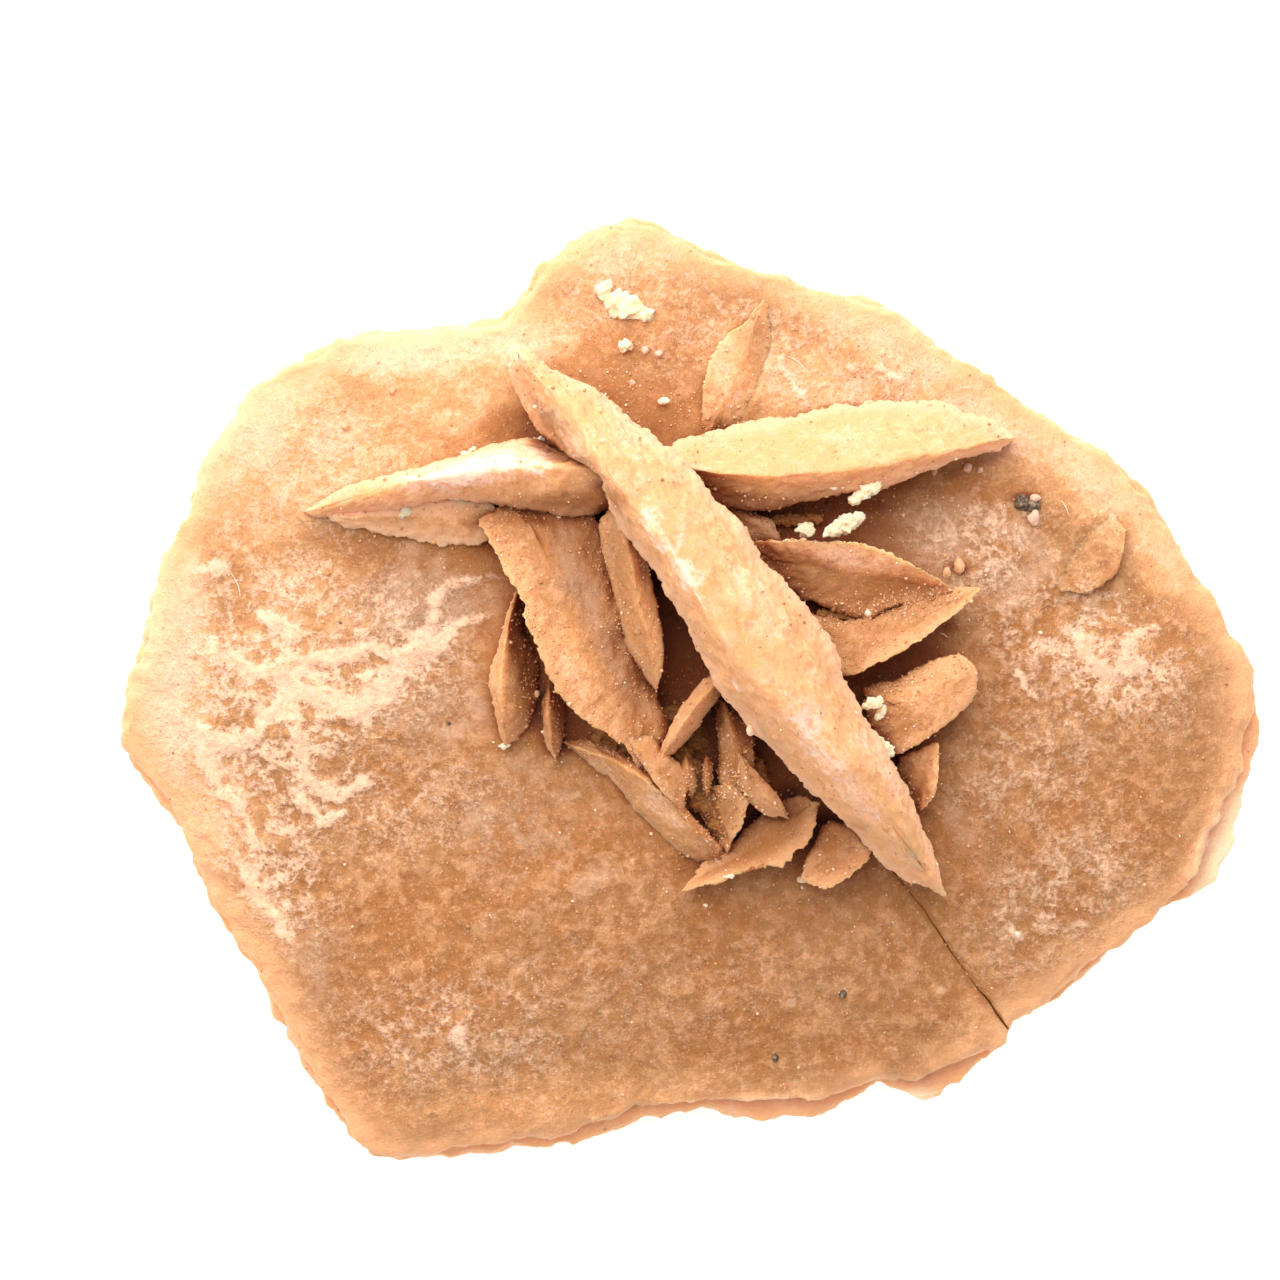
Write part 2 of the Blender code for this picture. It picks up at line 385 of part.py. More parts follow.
def make_crystal(crystal):
    """A crystal drawn by its rim and ridge, closed by a keel under the ridge."""
    left_rows = (crystal.start,) + crystal.left + (crystal.end,)
    right_rows = (crystal.start,) + crystal.right + (crystal.end,)
    longest = max(path_length(left_rows), path_length(right_rows))
    steps = max(FEWEST_STEPS, round(longest / STEP_LENGTH))
    left = even_path(left_rows, steps)
    right = even_path(right_rows, steps)
    ridge = even_path(crystal.ridge, steps)
    rim = left + right[-2:0:-1]
    spine = ridge + ridge[-2:0:-1]
    upper = []
    lower = []
    for out, middle in zip(rim, spine):
        place = middle.lerp(out, MIDDLE_SHARE)
        high = middle.z + (out.z - middle.z) * MIDDLE_SHARE ** crystal.over
        low = crystal.keel + (out.z - crystal.keel) * MIDDLE_SHARE ** crystal.under
        upper.append(Vector((place.x, place.y, high)))
        lower.append(Vector((place.x, place.y, low)))
    keel = [Vector((point.x, point.y, crystal.keel)) for point in ridge]

    count = len(rim)
    upper_start = len(ridge)
    rim_start = upper_start + count
    lower_start = rim_start + count
    keel_start = lower_start + count
    faces = band(upper_start, rim_start, count) + band(rim_start, lower_start, count)
    for i in range(count):
        j = (i + 1) % count
        near = min(i, count - i)
        far = min(j, count - j)
        faces.append((near, upper_start + i, upper_start + j))
        faces.append((near, upper_start + j, far))
        faces.append((keel_start + near, lower_start + j, lower_start + i))
        faces.append((keel_start + near, keel_start + far, lower_start + j))
    return new_object(crystal.name, ridge + upper + rim + lower + keel, faces)


def make_lens(lens):
    """A lens crystal: a pointed disc, thick in the middle and sharp all round its rim."""
    start = Vector(lens.start)
    end = Vector(lens.end)
    middle = (start + end) / 2.0
    half_length = (end - start).length / 2.0
    along = (end - start).normalized()
    side = Vector((-along.y, along.x, 0.0)).normalized()
    up = along.cross(side)
    lean = math.radians(lens.lean)
    blade = side * math.cos(lean) + up * math.sin(lean)
    normal = along.cross(blade)

    def place(u, v, w):
        offset = w + lens.bow * (1.0 - u * u)
        return middle + along * (u * half_length) + blade * v + normal * offset

    def ring(share, face):
        points = []
        for i in range(LENS_STEPS):
            angle = 2.0 * math.pi * i / LENS_STEPS
            u = math.cos(angle)
            reach = max(1.0 - u * u, 0.0) ** lens.point
            v = reach * (lens.rise if math.sin(angle) > 0.0 else -lens.root)
            w = face * lens.thick / 2.0 * (1.0 - share ** 2)
            points.append(place(u * share, v * share, w))
        return points

    rings = [ring(share, 1.0) for share in reversed(LENS_RINGS[1:])]
    rings.append(ring(1.0, 0.0))
    rings += [ring(share, -1.0) for share in LENS_RINGS[1:]]
    return loft(lens.name, place(0.0, 0.0, lens.thick / 2.0), rings, place(0.0, 0.0, -lens.thick / 2.0))


def make_crumb(number, centre, radii):
    """A knobbly crumb: a ball with its points pushed in and out."""
    shape = bmesh.new()
    bmesh.ops.create_icosphere(shape, subdivisions=2, radius=1.0)
    spread = Vector((number * CRUMB_SPREAD, 0.0, 0.0))
    for vert in shape.verts:
        knobble = 1.0 + KNOBBLE * noise.noise(vert.co / KNOBBLE_SIZE + spread)
        vert.co = Vector([centre[k] + vert.co[k] * radii[k] * knobble for k in range(3)]) * MM
    mesh = bpy.data.meshes.new(f"crumb_{number}")
    shape.to_mesh(mesh)
    shape.free()
    obj = bpy.data.objects.new(mesh.name, mesh)
    bpy.context.collection.objects.link(obj)
    return obj


def make_crack_cutter():
    """A long V-shaped wedge that follows the crack and deepens towards the plate's edge."""
    last = len(CRACK_PATH) - 1
    points = []
    for k, (x, y, floor) in enumerate(CRACK_PATH):
        before = Vector(CRACK_PATH[max(k - 1, 0)][:2])
        after = Vector(CRACK_PATH[min(k + 1, last)][:2])
        heading = (after - before).normalized()
        across = Vector((-heading.y, heading.x, 0.0)) * CRACK_SLOPE * (CRACK_TOP - floor)
        points.append(Vector((x, y, CRACK_TOP)) + across)
        points.append(Vector((x, y, CRACK_TOP)) - across)
        points.append(Vector((x, y, floor)))
    faces = [(0, 1, 2), (3 * last, 3 * last + 1, 3 * last + 2)]
    for k in range(last):
        for i in range(3):
            j = (i + 1) % 3
            faces.append((3 * k + i, 3 * k + j, 3 * k + 3 + j, 3 * k + 3 + i))
    return new_object("crack_cutter", points, faces)


def make_floor_cutter():
    """A slab whose top is the resting plane: it wears the underside's ridges flat."""
    bpy.ops.mesh.primitive_cube_add(size=1.0, location=(0.0, 0.0, -SLAB_DEPTH / 2.0 * MM))
    slab = bpy.context.object
    slab.name = "floor_cutter"
    slab.scale = (SLAB_WIDTH * MM, SLAB_WIDTH * MM, SLAB_DEPTH * MM)
    bpy.ops.object.transform_apply(location=True, rotation=False, scale=True)
    return slab


def combine(target, tool, operation):
    """Join the tool to the target, or cut it away, and drop the tool."""
    modifier = target.modifiers.new(operation.lower(), "BOOLEAN")
    modifier.operation = operation
    modifier.solver = "EXACT"
    modifier.object = tool
    depsgraph = bpy.context.evaluated_depsgraph_get()
    mesh = bpy.data.meshes.new_from_object(target.evaluated_get(depsgraph))
    target.modifiers.clear()
    target.data = mesh
    bpy.data.objects.remove(tool, do_unlink=True)


def drop_sealed_pockets(obj):
    """Keep the outer skin alone, so no void is shut inside the stone."""
    shape = bmesh.new()
    shape.from_mesh(obj.data)
    unseen = set(shape.verts)
    skins = []
    while unseen:
        skin = {unseen.pop()}
        front = list(skin)
        while front:
            vert = front.pop()
            for edge in vert.link_edges:
                other = edge.other_vert(vert)
                if other in unseen:
                    unseen.remove(other)
                    skin.add(other)
                    front.append(other)
        skins.append(skin)
    outer = max(skins, key=len)
    stray = [vert for skin in skins if skin is not outer for vert in skin]
    bmesh.ops.delete(shape, geom=stray, context="VERTS")
    shape.to_mesh(obj.data)
    shape.free()


def make_material():
    """Sandy, iron-stained gypsum."""
    material = bpy.data.materials.new("sandy_gypsum")
    material.use_nodes = True
    shader = material.node_tree.nodes["Principled BSDF"]
    shader.inputs["Base Color"].default_value = STONE_COLOUR
    shader.inputs["Roughness"].default_value = STONE_ROUGHNESS
    shader.inputs["Metallic"].default_value = 0.0
    return material


def make_sand_rose():
    """Grow the crystals and crumbs into the plate, cut the crack and wear the feet flat."""
    rose = make_plate()
    for crystal in CLUSTER:
        combine(rose, make_crystal(crystal), "UNION")
    for lens in UNDERSIDE:
        combine(rose, make_lens(lens), "UNION")
    for number, (x, y, z, *radii) in enumerate(CRUMBS):
        combine(rose, make_crumb(number, (x, y, z), radii), "UNION")
    combine(rose, make_crack_cutter(), "DIFFERENCE")
    combine(rose, make_floor_cutter(), "DIFFERENCE")
    drop_sealed_pockets(rose)
    rose.name = NODE_NAME
    rose.data.name = NODE_NAME
    rose.data.materials.clear()
    rose.data.materials.append(make_material())
    return rose


clear_scene()
make_sand_rose()
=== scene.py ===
"""Gypsum sand rose: the fine skin of the stone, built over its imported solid.

Each operator makes one piece or one group of like pieces.  Named lengths and the tables are
millimetres in the frame's own axes, unless a comment says otherwise; meshes are in metres.
"""

import math
from collections import namedtuple

import bmesh
import bpy
import numpy as np
from bpy.props import FloatProperty, FloatVectorProperty, IntProperty, PointerProperty
from mathutils import Euler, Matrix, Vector, noise
from mathutils.bvhtree import BVHTree


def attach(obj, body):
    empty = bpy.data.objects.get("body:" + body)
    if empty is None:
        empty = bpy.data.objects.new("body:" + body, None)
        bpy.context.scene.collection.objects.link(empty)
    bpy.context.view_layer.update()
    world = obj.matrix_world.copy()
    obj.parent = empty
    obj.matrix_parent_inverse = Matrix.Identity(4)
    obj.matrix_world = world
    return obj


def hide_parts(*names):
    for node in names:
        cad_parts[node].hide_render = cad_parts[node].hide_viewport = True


bl_info = {
    "name": "Gypsum Sand Rose",
    "version": (1, 0, 0),
    "blender": (4, 5, 0),
    "location": "View3D > Sidebar > Sand Rose",
    "description": "Fine crystal skins, crumbs and sand of a gypsum sand rose",
    "category": "Add Mesh",
}

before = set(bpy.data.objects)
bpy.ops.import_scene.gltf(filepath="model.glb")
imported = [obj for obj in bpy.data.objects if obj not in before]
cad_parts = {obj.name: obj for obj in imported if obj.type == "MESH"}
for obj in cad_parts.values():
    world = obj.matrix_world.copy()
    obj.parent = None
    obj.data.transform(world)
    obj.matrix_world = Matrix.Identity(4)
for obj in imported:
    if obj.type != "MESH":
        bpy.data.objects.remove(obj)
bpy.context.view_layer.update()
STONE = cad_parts["sand_rose"]

MM = 0.001
LATTICE_SEED, RAY_SEED, CRUMB_SEED, RUBBLE_SEED, GRAIN_SEED, PEBBLE_SEED = 11, 5, 23, 29, 41, 71

# ---- crystals ----

# A lens crystal: the tips of its long axis, how far its blade stands out above that axis (rise) and
# below it (root), its thickness, its lean from flat, how pointed its tips are, its bow and its
# twist; then half the thickness of its rim (edge), the depth of the teeth along the rim (tooth)
# and the height of the sandy lumps on its faces (crust).
Lens = namedtuple("Lens", "name start end rise root thick lean point bow twist edge tooth crust")

# A crystal drawn by its edges: the two tips of its rim, the two sides of the rim between them, the
# ridge along its upper face and the height of its root (keel).  Over and under say how its upper
# and lower faces curve from the middle to the rim: 1 is straight, more bulges, less is hollow.
Crystal = namedtuple(
    "Crystal", "name start end left right ridge keel over under edge tooth crust")

LONG_BLADE = (
    Crystal("long_blade", start=(-9.0, 18.2, 9.8), end=(13.5, -10.8, 8.4),
            left=((-9.6, 18.0, 9.5), (-9.5, 17.0, 9.3), (-8.9, 15.5, 9.4), (-8.1, 13.8, 9.8),
                  (-6.8, 12.4, 11.0), (-4.8, 11.1, 12.3), (-3.5, 8.3, 13.0), (-1.9, 6.4, 13.4),
                  (-0.6, 4.1, 13.7), (0.4, 1.9, 13.8), (1.8, -0.2, 13.6), (3.5, -2.2, 13.2),
                  (5.3, -4.4, 12.4), (7.7, -6.6, 11.0), (8.9, -7.7, 10.3), (10.0, -9.1, 9.3),
                  (11.3, -9.9, 8.7)),
            right=((-8.3, 18.1, 10.0), (-8.0, 17.5, 10.3), (-6.5, 16.5, 11.0), (-4.9, 15.6, 11.6),
                   (-3.3, 14.4, 12.2), (-1.5, 13.2, 12.8), (0.6, 11.0, 13.3), (2.7, 8.7, 13.6),
                   (3.7, 6.8, 13.8), (4.9, 5.8, 13.7), (6.0, 4.8, 13.5), (6.8, 3.7, 13.3),
                   (7.5, 2.4, 13.1), (7.9, 0.8, 12.9), (8.8, -0.5, 12.5), (9.8, -2.3, 12.0),
                   (10.7, -3.6, 11.4), (11.5, -5.5, 10.6), (12.1, -6.8, 10.0), (12.7, -8.3, 9.4),
                   (13.2, -9.7, 8.9)),
            ridge=((-8.9, 17.3, 11.4), (-7.6, 16.1, 13.0), (-6.2, 14.8, 14.3), (-5.2, 13.2, 15.4),
                   (-4.3, 11.3, 16.4), (-2.0, 8.5, 17.5), (0.0, 5.8, 18.2), (2.4, 1.9, 18.6),
                   (5.0, -1.3, 18.1), (7.7, -3.7, 16.6), (10.3, -6.7, 13.4), (12.0, -9.0, 10.6)),
            keel=4.0, over=1.7, under=0.9, edge=0.35, tooth=0.14, crust=0.2),
)
CROSS_BLADES = (
    Crystal("cross_left", start=(-20.5, 9.4, 6.5), end=(-2.6, 11.1, 11.5),
            left=((-18.8, 10.3, 7.0), (-17.0, 11.1, 7.6), (-14.6, 11.6, 8.3), (-12.5, 12.3, 8.5),
                  (-10.4, 13.0, 8.7), (-8.3, 13.4, 9.0), (-6.7, 12.7, 10.0), (-4.7, 12.4, 11.0)),
            right=((-19.6, 8.9, 6.5), (-18.1, 9.1, 6.9), (-16.2, 9.4, 7.8), (-14.6, 9.5, 8.4),
                   (-13.1, 9.9, 8.9), (-10.7, 9.9, 9.4), (-8.9, 9.4, 9.6), (-6.8, 9.1, 9.8),
                   (-4.4, 9.1, 10.0)),
            ridge=((-19.1, 9.6, 7.5), (-16.7, 10.4, 9.0), (-14.1, 11.0, 10.6), (-11.5, 11.4, 11.8),
                   (-8.9, 11.7, 12.6), (-6.2, 11.6, 13.1), (-3.6, 11.3, 13.4)),
            keel=4.0, over=1.7, under=0.9, edge=0.25, tooth=0.14, crust=0.16),
    Crystal("cross_skirt", start=(-19.1, 9.2, 7.0), end=(-8.9, 8.5, 8.8),
            left=((-16.7, 9.7, 8.0), (-13.6, 10.0, 8.6), (-10.4, 10.2, 9.0)),
            right=((-17.8, 8.5, 7.1), (-15.7, 8.0, 7.4), (-13.6, 7.7, 7.6), (-11.0, 7.4, 7.9)),
            ridge=((-17.8, 9.1, 7.6), (-15.2, 9.1, 8.1), (-12.5, 9.0, 8.5), (-10.2, 8.7, 8.7)),
            keel=5.0, over=1.2, under=1.0, edge=0.15, tooth=0.2, crust=0.14),
    Crystal("cross_right", start=(-1.8, 12.0, 11.5), end=(17.3, 13.3, 7.0),
            left=((-0.5, 13.3, 9.5), (1.6, 13.7, 8.6), (4.5, 14.4, 8.0), (6.9, 15.0, 7.7),
                  (10.0, 15.3, 7.4), (13.2, 15.2, 7.0), (15.8, 14.3, 6.9)),
            right=((0.1, 10.8, 10.9), (1.0, 10.0, 10.5), (2.6, 9.4, 10.2), (4.3, 9.4, 10.1),
                   (5.8, 9.9, 10.1), (7.9, 10.2, 10.0), (10.0, 10.4, 9.7), (12.1, 11.3, 9.1),
                   (14.2, 12.1, 8.4), (16.3, 12.6, 7.5)),
            ridge=((-0.9, 11.7, 12.2), (1.6, 11.3, 12.2), (4.8, 11.2, 12.1), (7.4, 11.4, 11.7),
                   (10.0, 11.8, 11.0), (12.7, 12.3, 10.1), (15.0, 12.9, 9.0), (16.5, 13.2, 8.0)),
            keel=4.0, over=1.15, under=0.7, edge=0.2, tooth=0.16, crust=0.14),
    Crystal("shelf", start=(1.2, 10.4, 9.4), end=(4.8, 7.9, 9.0),
            left=((2.9, 9.5, 9.3), (4.4, 9.1, 9.2)),
            right=((2.0, 9.0, 9.4), (2.9, 7.6, 9.3)),
            ridge=((2.6, 9.2, 9.7), (3.7, 8.5, 9.4)),
            keel=6.0, over=1.3, under=0.8, edge=0.12, tooth=0.1, crust=0.14),
)
LEFT_PETALS = (
    Crystal("tongue", start=(-9.9, 10.0, 9.0), end=(-2.3, -4.5, 10.0),
            left=((-11.1, 9.0, 9.4), (-10.5, 7.7, 10.4), (-9.7, 6.1, 11.0), (-9.0, 4.9, 11.4),
                  (-8.6, 3.3, 11.7), (-7.8, 1.9, 11.8), (-6.9, 0.1, 11.7), (-5.7, -1.5, 11.4),
                  (-4.1, -2.4, 11.0), (-3.1, -3.2, 10.6)),
            right=((-6.8, 10.0, 9.2), (-4.7, 9.4, 9.6), (-3.2, 6.9, 9.7), (-2.5, 4.0, 9.7),
                   (-2.2, 1.9, 9.6), (-1.6, -0.2, 9.6), (-1.1, -2.3, 9.8), (-1.3, -3.7, 9.8)),
            ridge=((-8.3, 8.7, 10.3), (-7.2, 6.4, 10.8), (-6.0, 3.7, 11.1), (-4.8, 1.4, 11.1),
                   (-3.6, -1.1, 10.9), (-2.6, -3.0, 10.5)),
            keel=6.0, over=1.0, under=0.55, edge=0.18, tooth=0.2, crust=0.12),
    Crystal("narrow_petal", start=(-3.7, 10.0, 11.6), end=(-1.7, -0.1, 10.9),
            left=((-4.8, 9.0, 11.0), (-4.6, 7.4, 10.9), (-4.1, 5.6, 10.7), (-3.7, 3.7, 10.6),
                  (-3.2, 2.3, 10.5), (-2.5, 0.8, 10.4)),
            right=((-2.3, 7.7, 12.4), (-2.0, 6.4, 12.4), (-1.7, 4.8, 12.3), (-1.4, 3.3, 12.2),
                   (-1.2, 2.3, 12.0), (-1.4, 0.8, 11.5)),
            ridge=((-3.4, 8.5, 12.7), (-2.9, 6.1, 12.9), (-2.5, 4.0, 12.7), (-2.0, 2.2, 12.2),
                   (-1.8, 0.8, 11.5)),
            keel=7.0, over=1.2, under=0.6, edge=0.16, tooth=0.08, crust=0.08),
    Crystal("left_crescent", start=(-8.9, 5.7, 8.6), end=(-9.6, -3.0, 8.0),
            left=((-9.7, 3.5, 8.8), (-10.2, 1.9, 8.9), (-10.6, 0.3, 8.9), (-10.3, -1.1, 8.6),
                  (-10.0, -2.5, 8.2)),
            right=((-8.6, 3.3, 8.4), (-7.9, 1.6, 8.4), (-7.8, -0.2, 8.3), (-8.1, -1.8, 8.2),
                   (-8.9, -2.7, 8.1)),
            ridge=((-9.2, 4.5, 9.8), (-9.6, 2.7, 10.7), (-9.8, 0.8, 10.9), (-9.8, -0.7, 10.5),
                   (-9.6, -2.2, 9.2)),
            keel=5.0, over=1.3, under=0.8, edge=0.16, tooth=0.14, crust=0.1),
    Crystal("left_sliver", start=(-7.4, 0.6, 8.6), end=(-6.9, -3.8, 8.2),
            left=((-7.7, -0.6, 8.6), (-7.8, -1.6, 8.6), (-7.7, -2.7, 8.5), (-7.3, -3.4, 8.3)),
            right=((-6.7, 0.2, 8.5), (-6.4, -0.7, 8.5), (-6.4, -1.8, 8.4), (-6.5, -2.8, 8.3)),
            ridge=((-7.3, -0.1, 9.6), (-7.4, -1.1, 10.2), (-7.3, -2.3, 10.0), (-7.0, -3.3, 9.0)),
            keel=5.5, over=1.2, under=0.8, edge=0.14, tooth=0.12, crust=0.1),
)
FRONT_PETALS = (
    Crystal("wedge", start=(-6.7, -2.6, 8.2), end=(1.8, -9.0, 8.3),
            left=((-5.8, -3.4, 7.8), (-4.4, -4.8, 7.6), (-3.3, -6.0, 7.6), (-2.0, -7.5, 7.6),
                  (-0.7, -8.5, 7.6), (0.7, -9.1, 7.8)),
            right=((-5.2, -2.5, 8.8), (-3.7, -3.0, 9.4), (-2.2, -3.8, 10.0), (-0.7, -5.2, 10.0),
                   (0.6, -6.9, 9.6), (1.7, -8.2, 9.0)),
            ridge=((-6.0, -2.9, 9.0), (-4.0, -3.6, 10.0), (-2.4, -4.5, 10.9), (-1.1, -5.7, 10.9),
                   (0.2, -7.2, 10.4), (1.4, -8.5, 9.6)),
            keel=5.5, over=1.0, under=0.8, edge=0.14, tooth=0.08, crust=0.12),
    Crystal("saddle", start=(-3.5, -2.2, 10.7), end=(-0.3, -6.4, 10.2),
            left=((-2.6, -3.7, 10.7), (-1.8, -4.8, 10.9), (-1.1, -5.7, 10.8)),
            right=((-1.9, -2.3, 10.2), (-1.1, -3.2, 10.3), (-0.3, -4.0, 10.3), (0.1, -5.2, 10.2)),
            ridge=((-2.7, -3.0, 11.0), (-1.8, -4.0, 11.1), (-0.9, -5.1, 11.0)),
            keel=7.0, over=1.2, under=0.7, edge=0.14, tooth=0.12, crust=0.12),
    Crystal("slim_blade", start=(2.0, 1.2, 12.6), end=(-1.5, -3.5, 10.2),
            left=((0.7, 0.7, 11.8), (-0.3, -0.6, 11.4), (-1.1, -1.8, 11.0), (-1.5, -2.8, 10.7)),
            right=((1.7, -0.3, 11.4), (1.0, -1.1, 11.2), (0.2, -2.1, 10.9), (-0.8, -3.3, 10.3)),
            ridge=((1.4, 0.4, 13.0), (0.4, -0.6, 12.7), (-0.5, -1.9, 12.1), (-1.2, -3.1, 11.0)),
            keel=6.5, over=1.2, under=0.8, edge=0.16, tooth=0.08, crust=0.06),
    Crystal("column", start=(1.2, 0.1, 10.0), end=(2.4, -5.7, 9.9),
            left=((1.5, -1.5, 9.7), (1.5, -3.0, 9.8), (1.4, -4.4, 9.8), (1.7, -5.3, 9.8)),
            right=((2.4, -0.5, 10.0), (3.3, -2.0, 10.1), (3.5, -3.6, 10.4), (3.3, -4.9, 10.4)),
            ridge=((1.9, -0.7, 10.7), (2.3, -2.6, 10.8), (2.4, -4.4, 10.6)),
            keel=6.5, over=1.5, under=0.7, edge=0.14, tooth=0.1, crust=0.12),
    Crystal("wedge_wall", start=(0.1, -5.2, 8.8), end=(2.0, -8.6, 9.1),
            left=((0.4, -6.0, 8.5), (0.9, -6.9, 8.5), (1.5, -8.0, 8.7)),
            right=((1.6, -4.7, 10.1), (3.1, -5.5, 10.6), (2.8, -6.8, 10.3), (2.4, -7.7, 9.8)),
            ridge=((1.2, -5.6, 9.2), (1.7, -6.5, 9.3), (2.0, -7.6, 9.3)),
            keel=6.5, over=1.0, under=0.6, edge=0.14, tooth=0.12, crust=0.12),
    Crystal("pointed_crystal", start=(2.6, -3.2, 10.8), end=(5.2, -6.7, 9.9),
            left=((3.3, -3.9, 11.0), (4.0, -4.7, 10.9), (4.7, -5.5, 10.6), (5.0, -6.1, 10.2)),
            right=((2.4, -4.4, 10.5), (3.0, -5.7, 10.3), (3.6, -6.3, 10.0), (4.5, -6.7, 9.8),
                   (4.7, -6.4, 9.8)),
            ridge=((3.1, -4.4, 11.2), (3.8, -5.4, 11.0), (4.6, -6.0, 10.5)),
            keel=7.0, over=1.2, under=0.7, edge=0.12, tooth=0.05, crust=0.06),
    Crystal("inner_tooth", start=(-0.2, -3.4, 10.2), end=(0.1, -5.6, 9.7),
            left=((0.4, -3.9, 10.2), (0.4, -5.0, 10.0)),
            right=((-0.6, -4.1, 10.1), (-0.4, -5.1, 9.9)),
            ridge=((-0.1, -4.0, 10.8), (0.1, -4.9, 10.4)),
            keel=8.0, over=1.3, under=0.8, edge=0.08, tooth=0.04, crust=0.05),
    Crystal("inner_spike", start=(0.9, -3.4, 10.2), end=(0.9, -5.6, 9.8),
            left=((1.3, -3.9, 10.2), (1.2, -4.8, 10.0)),
            right=((0.6, -3.9, 10.2), (0.7, -4.9, 10.0)),
            ridge=((0.9, -3.9, 10.8), (0.9, -4.9, 10.4)),
            keel=8.0, over=1.3, under=0.8, edge=0.08, tooth=0.04, crust=0.05),
    Crystal("scallop_near", start=(-0.3, -10.4, 8.6), end=(6.9, -5.8, 9.4),
            left=((0.4, -10.3, 9.1), (1.1, -9.9, 9.5), (2.4, -9.7, 9.8), (3.7, -9.4, 9.9),
                  (4.7, -9.2, 9.9), (5.3, -8.7, 9.9), (5.9, -8.3, 9.8), (6.3, -7.7, 9.7),
                  (6.7, -7.0, 9.6)),
            right=((0.6, -9.3, 8.5), (1.7, -8.3, 8.6), (2.9, -6.9, 8.6), (4.5, -5.7, 8.7),
                   (5.8, -5.2, 8.8)),
            ridge=((0.8, -9.6, 8.8), (2.4, -8.8, 8.9), (4.0, -7.9, 9.0), (5.3, -6.9, 9.0),
                   (6.1, -6.0, 9.1)),
            keel=6.5, over=1.4, under=0.6, edge=0.12, tooth=0.26, crust=0.1),
    Crystal("scallop_far", start=(5.8, -9.8, 9.0), end=(9.6, -8.3, 9.4),
            left=((6.5, -10.3, 9.3), (7.2, -10.4, 9.5), (8.0, -10.1, 9.6), (8.6, -9.8, 9.6),
                  (9.2, -9.2, 9.5)),
            right=((6.0, -8.5, 8.7), (6.6, -7.4, 8.5), (7.3, -6.5, 8.5), (8.5, -7.0, 8.7)),
            ridge=((6.6, -9.2, 8.9), (7.4, -8.6, 9.0), (8.5, -8.1, 9.1)),
            keel=6.5, over=1.4, under=0.6, edge=0.14, tooth=0.18, crust=0.1),
)
RIGHT_PETALS = (
    Crystal("upper_leaf", start=(2.9, 7.7, 10.5), end=(14.0, 5.2, 9.6),
            left=((4.3, 7.9, 11.2), (5.8, 8.0, 11.4), (7.7, 8.0, 11.4), (9.1, 7.7, 11.3),
                  (10.4, 7.1, 11.2), (11.9, 6.6, 10.9), (13.1, 6.0, 10.4)),
            right=((4.3, 5.6, 9.6), (5.8, 4.8, 9.2), (7.7, 4.0, 9.0), (9.2, 3.8, 9.0),
                   (10.8, 4.3, 9.0), (12.5, 4.8, 9.1)),
            ridge=((4.4, 6.9, 10.5), (6.6, 6.5, 10.1), (8.7, 6.0, 9.9), (10.8, 5.7, 9.7),
                   (12.7, 5.4, 9.6)),
            keel=6.0, over=0.85, under=0.55, edge=0.15, tooth=0.18, crust=0.1),
    Crystal("lower_leaf", start=(6.2, 4.0, 9.2), end=(15.2, 5.4, 9.6),
            left=((7.9, 3.8, 9.0), (9.5, 3.9, 9.0), (11.1, 4.5, 9.0), (12.7, 5.0, 9.2),
                  (14.0, 5.4, 9.5)),
            right=((7.1, 1.9, 10.2), (8.2, 0.5, 10.8), (9.4, 1.2, 11.0), (10.6, 1.8, 11.0),
                   (12.1, 2.6, 10.9), (13.4, 3.6, 10.6), (14.5, 4.6, 10.1)),
            ridge=((7.0, 3.2, 9.8), (8.5, 2.5, 10.05), (10.6, 3.1, 10.05), (12.9, 4.2, 9.8)),
            keel=6.0, over=0.9, under=0.55, edge=0.15, tooth=0.16, crust=0.1),
    Crystal("right_lobe", start=(9.1, 0.1, 9.4), end=(15.1, 1.0, 9.8),
            left=((10.7, 0.7, 9.4), (12.0, 1.4, 9.6), (13.3, 1.9, 9.8), (14.3, 2.0, 9.8)),
            right=((9.4, -2.0, 9.8), (10.7, -3.4, 10.0), (11.9, -2.8, 10.2), (13.1, -2.1, 10.2),
                   (14.1, -1.3, 10.1), (14.8, -0.5, 10.0)),
            ridge=((10.6, -0.7, 10.3), (11.9, -0.4, 10.4), (13.2, 0.2, 10.4), (14.2, 0.6, 10.2)),
            keel=6.0, over=1.5, under=0.55, edge=0.2, tooth=0.12, crust=0.1),
    Crystal("right_sliver", start=(11.0, -3.4, 8.8), end=(12.1, -6.2, 9.0),
            left=((10.9, -4.0, 8.5), (11.2, -4.9, 8.4), (11.7, -5.6, 8.6)),
            right=((13.1, -2.5, 9.6), (13.0, -3.6, 9.7), (12.9, -4.6, 9.7), (12.7, -5.6, 9.4)),
            ridge=((11.7, -3.7, 9.0), (12.0, -4.6, 9.0), (12.2, -5.5, 9.1)),
            keel=6.0, over=1.2, under=0.6, edge=0.14, tooth=0.12, crust=0.1),
)
LONE_PETALS = (
    Crystal("lone_petal", start=(0.7, 13.1, 7.3), end=(3.9, 20.5, 6.3),
            left=((0.6, 14.5, 7.7), (0.7, 16.1, 7.8), (1.2, 17.7, 7.5), (1.8, 18.6, 7.2),
                  (2.8, 19.4, 6.8)),
            right=((2.0, 13.2, 7.1), (2.9, 14.2, 6.9), (3.8, 15.8, 6.5), (4.4, 17.4, 6.1),
                   (4.5, 19.1, 5.9)),
            ridge=((1.4, 14.2, 7.7), (2.0, 15.7, 7.7), (2.7, 17.3, 7.3), (3.3, 18.7, 6.9),
                   (3.6, 19.6, 6.6)),
            keel=4.5, over=1.0, under=0.7, edge=0.14, tooth=0.12, crust=0.08),
)
